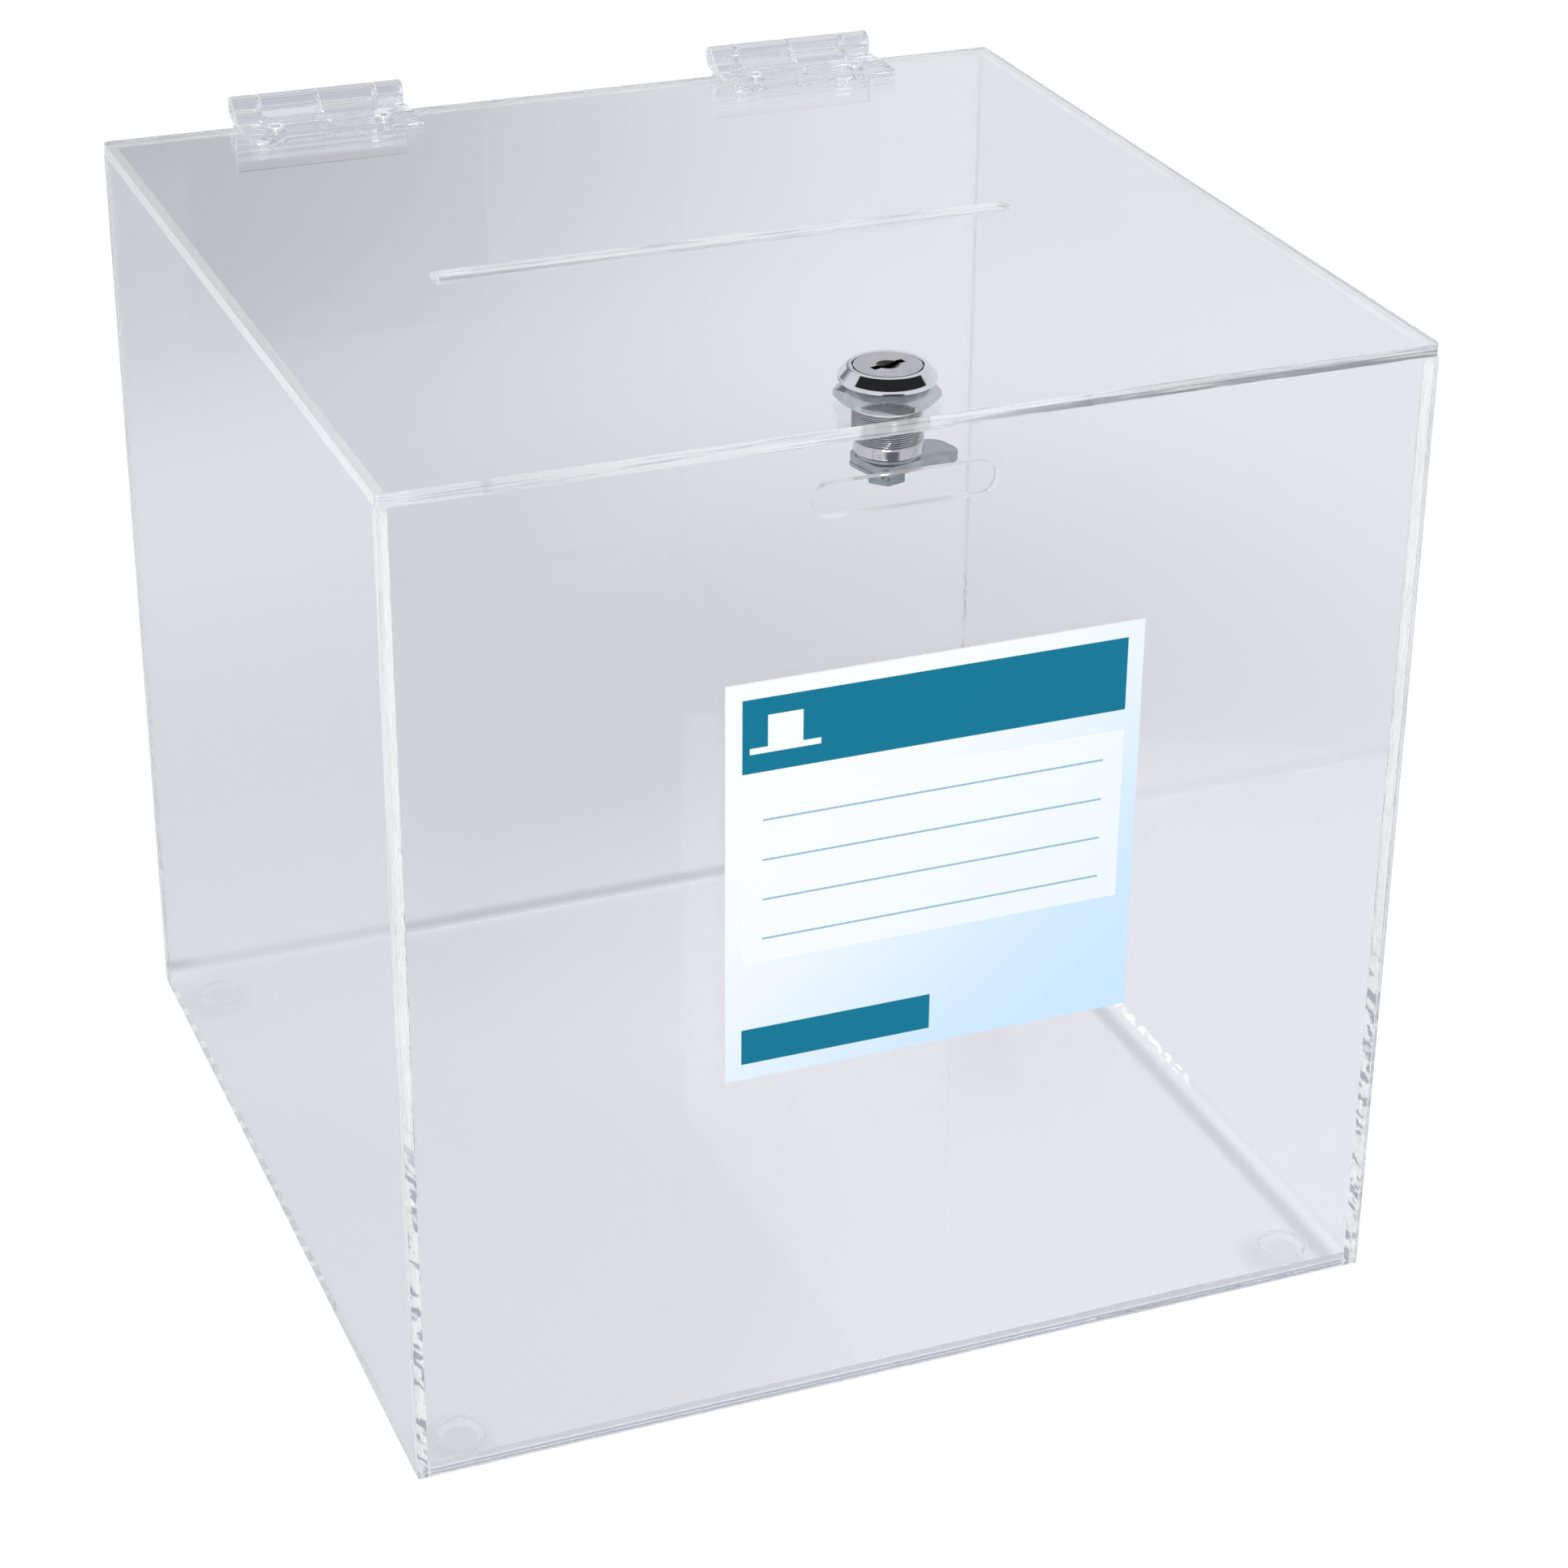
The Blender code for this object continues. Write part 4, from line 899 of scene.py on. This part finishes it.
# a painted soft shadow round each foot, as a share of the tone
footShadowSpot = {"inner": 0.0045, "outer": 0.0125, "shade": 0.86, "shift": (-0.0015, 0.0015)}
floorFlags = [{"place": (-0.15, -0.97, 0.0), "inner": 0.33, "outer": 0.44, "color": (0.05, 0.05, 0.055)}]
reflectedCards = [
    {"toward": (0.0, 0.0, 1.0), "inner": 57.0, "outer": 60.0, "light": 0.03, "direct": True},
    {"toward": (0.282, 0.648, 0.707), "inner": 49.0, "outer": 52.0, "light": 1.0, "direct": True},
    {"toward": (0.06, 0.15, 0.985), "inner": 14.0, "outer": 26.0, "light": 0.4, "direct": True},
    {"toward": (0.0, 1.0, 0.0), "inner": 68.5, "outer": 69.5, "light": 1.05, "direct": True},
    {"toward": (-0.12, 0.95, 0.30), "inner": 8.0, "outer": 30.0, "light": 0.25, "direct": False}]


def addPatch(tree, place, values):
    # 1 within the inner distance of the patch's place, falling softly to 0 at the outer one
    distance = tree.nodes.new("ShaderNodeVectorMath")
    distance.operation = "DISTANCE"
    tree.links.new(place, distance.inputs[0])
    distance.inputs[1].default_value = values["place"]
    return addRange(tree, distance.outputs["Value"], values["inner"], values["outer"], 1.0, 0.0)


def addShade(tree, tone, share, shade):
    # the tone times the shade where the share is 1
    scaled = tree.nodes.new("ShaderNodeVectorMath")
    scaled.operation = "SCALE"
    tree.links.new(tone, scaled.inputs[0])
    scaled.inputs["Scale"].default_value = shade
    return addColorMix(tree, share, tone, scaled.outputs["Vector"])


def buildFloor():
    # part glow, part paper: the paper share takes the shadows, and only reflections see the dark flag
    half = studio["floorSize"] / 2
    mesh = bpy.data.meshes.new("floor")
    corners = [(-half, -half, 0), (half, -half, 0), (half, half, 0), (-half, half, 0)]
    mesh.from_pydata(corners, [], [(0, 1, 2, 3)])
    floor = bpy.data.objects.new("floor", mesh)
    bpy.context.scene.collection.objects.link(floor)
    material = bpy.data.materials.new("floor_paper")
    material.use_nodes = True
    tree = material.node_tree
    tree.nodes.clear()
    place = tree.nodes.new("ShaderNodeTexCoord").outputs["Object"]
    path = tree.nodes.new("ShaderNodeLightPath")
    tone = studio["tone"]
    # painted shade: the tone darkens in soft patches
    for values in floorShadePatches:
        tone = addColorMix(tree, addPatch(tree, place, values), tone, values["color"])
    parts = tree.nodes.new("ShaderNodeSeparateXYZ")
    tree.links.new(place, parts.inputs[0])
    for values in floorBands:
        # a strip along one wall's foot: shadow or gathered light, as a share of the tone
        across = parts.outputs[values["axis"]]
        start, end, soft = values["start"], values["end"], values["soft"]
        rise = addRange(tree, across, start - soft, start + soft, 0.0, 1.0)
        fall = addRange(tree, across, end - soft, end + soft, 1.0, 0.0)
        along = addMath(tree, "ABSOLUTE", parts.outputs["XY".replace(values["axis"], "")], 0.0)
        reach, fade = studio["bandReach"], studio["bandFade"]
        near = addRange(tree, along, reach - fade, reach + fade, 1.0, 0.0)
        share = addMath(tree, "MULTIPLY", near, addMath(tree, "MULTIPLY", rise, fall))
        tone = addShade(tree, tone, share, values["shade"])
    # painted shadow round each foot
    for name in sorted(nodes):
        if name.startswith("foot_"):
            low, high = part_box(name)
            spot = dict(footShadowSpot, place=((low.x + high.x) / 2 + footShadowSpot["shift"][0],
                                          (low.y + high.y) / 2 + footShadowSpot["shift"][1], 0.0))
            tone = addShade(tree, tone, addPatch(tree, place, spot), footShadowSpot["shade"])
    once = tree.nodes.new("ShaderNodeMath")
    once.operation = "COMPARE"
    tree.links.new(path.outputs["Glossy Depth"], once.inputs[0])
    once.inputs[1].default_value = 1.0
    once.inputs[2].default_value = 0.5
    for values in floorFlags:
        flag = addMath(tree, "MULTIPLY", addPatch(tree, place, values), once.outputs[0])
        tone = addColorMix(tree, flag, tone, values["color"])
    seen = path.outputs["Is Camera Ray"]
    glow = addNode(tree, "ShaderNodeEmission")
    tree.links.new(addColorMix(tree, seen, tone, (1.0, 1.0, 1.0)), glow.inputs["Color"])
    strength = addMath(tree, "MULTIPLY", seen, studio["cameraGlow"] - studio["glow"])
    tree.links.new(addMath(tree, "ADD", strength, studio["glow"]), glow.inputs["Strength"])
    paper = tree.nodes.new("ShaderNodeBsdfDiffuse")
    share = 1 - studio["glow"]
    shaded = addColorMix(tree, share, (0.0, 0.0, 0.0), tone)
    tree.links.new(addColorMix(tree, seen, shaded, (studio["cameraPaper"],) * 3), paper.inputs["Color"])
    both = tree.nodes.new("ShaderNodeAddShader")
    tree.links.new(glow.outputs[0], both.inputs[0])
    tree.links.new(paper.outputs[0], both.inputs[1])
    tree.links.new(both.outputs[0], tree.nodes.new("ShaderNodeOutputMaterial").inputs["Surface"])
    mesh.materials.append(material)


def buildWorld():
    # white to the camera, pale grey elsewhere, with soft cards that only reflections see
    world = bpy.data.worlds.new("studio")
    bpy.context.scene.world = world
    world.use_nodes = True
    tree = world.node_tree
    sky = tree.nodes["Background"]
    path = tree.nodes.new("ShaderNodeLightPath")
    mirrored = path.outputs["Is Glossy Ray"]
    unglazed = addMath(tree, "LESS_THAN", path.outputs["Transmission Depth"], 0.5)
    direction = tree.nodes.new("ShaderNodeTexCoord").outputs["Generated"]
    parts = tree.nodes.new("ShaderNodeSeparateXYZ")
    tree.links.new(direction, parts.inputs[0])
    upward = addRange(tree, parts.outputs["Z"], *studio["upward"], 0.0, 1.0)
    light = 1.0
    for values in reflectedCards:
        # each card covers the ones before it within its cone: light + share * (card - light)
        dot = tree.nodes.new("ShaderNodeVectorMath")
        dot.operation = "DOT_PRODUCT"
        tree.links.new(direction, dot.inputs[0])
        dot.inputs[1].default_value = Vector(values["toward"]).normalized()
        low, high = (math.cos(math.radians(values[key])) for key in ("outer", "inner"))
        share = addMath(tree, "MULTIPLY", addRange(tree, dot.outputs["Value"], low, high, 0.0, 1.0), mirrored)
        share = addMath(tree, "MULTIPLY", share, unglazed if values["direct"] else upward)
        change = addMath(tree, "MULTIPLY", share, addMath(tree, "SUBTRACT", values["light"], light))
        light = addMath(tree, "ADD", light, change)
    tree.links.new(light, sky.inputs["Strength"])
    sky.inputs["Color"].default_value = (*studio["sky"], 1)
    white = addNode(tree, "ShaderNodeBackground", Color=(1.0, 1.0, 1.0, 1.0), Strength=1.0)
    mix = tree.nodes.new("ShaderNodeMixShader")
    tree.links.new(path.outputs["Is Camera Ray"], mix.inputs["Fac"])
    tree.links.new(sky.outputs[0], mix.inputs[1])
    tree.links.new(white.outputs[0], mix.inputs[2])
    tree.links.new(mix.outputs[0], tree.nodes["World Output"].inputs["Surface"])


def buildLamps():
    lamp = bpy.data.lights.new("softbox", "AREA")
    lamp.energy = studio["keyPower"]
    lamp.size = studio["keySize"]
    obj = bpy.data.objects.new("softbox", lamp)
    obj.location = studio["keyPlace"]
    obj.visible_glossy = False
    obj.rotation_euler = (Vector(studio["keyAim"]) - obj.location).to_track_quat("-Z", "Y").to_euler()
    bpy.context.scene.collection.objects.link(obj)


cameraView = {"place": (-0.31675, -0.82994, 0.56046), "turn": (62.781, -0.458, -21.686), "lens": 87.83}


def buildCamera():
    data = bpy.data.cameras.new("photo_view")
    data.sensor_width = 36
    data.lens = cameraView["lens"]
    camera = bpy.data.objects.new("photo_view", data)
    camera.location = cameraView["place"]
    camera.rotation_euler = [math.radians(angle) for angle in cameraView["turn"]]
    bpy.context.scene.collection.objects.link(camera)
    bpy.context.scene.camera = camera


# light runs a long way inside the sheets before it leaves them at an edge
bounces = {"sheet": 72, "film": 32}


def setRender():
    bpy.context.scene.view_settings.view_transform = "Standard"
    cycles = bpy.context.scene.cycles
    cycles.max_bounces = bounces["sheet"]
    cycles.transmission_bounces = bounces["sheet"]
    cycles.glossy_bounces = bounces["sheet"]
    cycles.transparent_max_bounces = bounces["film"]
    cycles.caustics_reflective = False


buildFloor()
buildWorld()
buildLamps()
buildCamera()
setRender()
print("studio built")
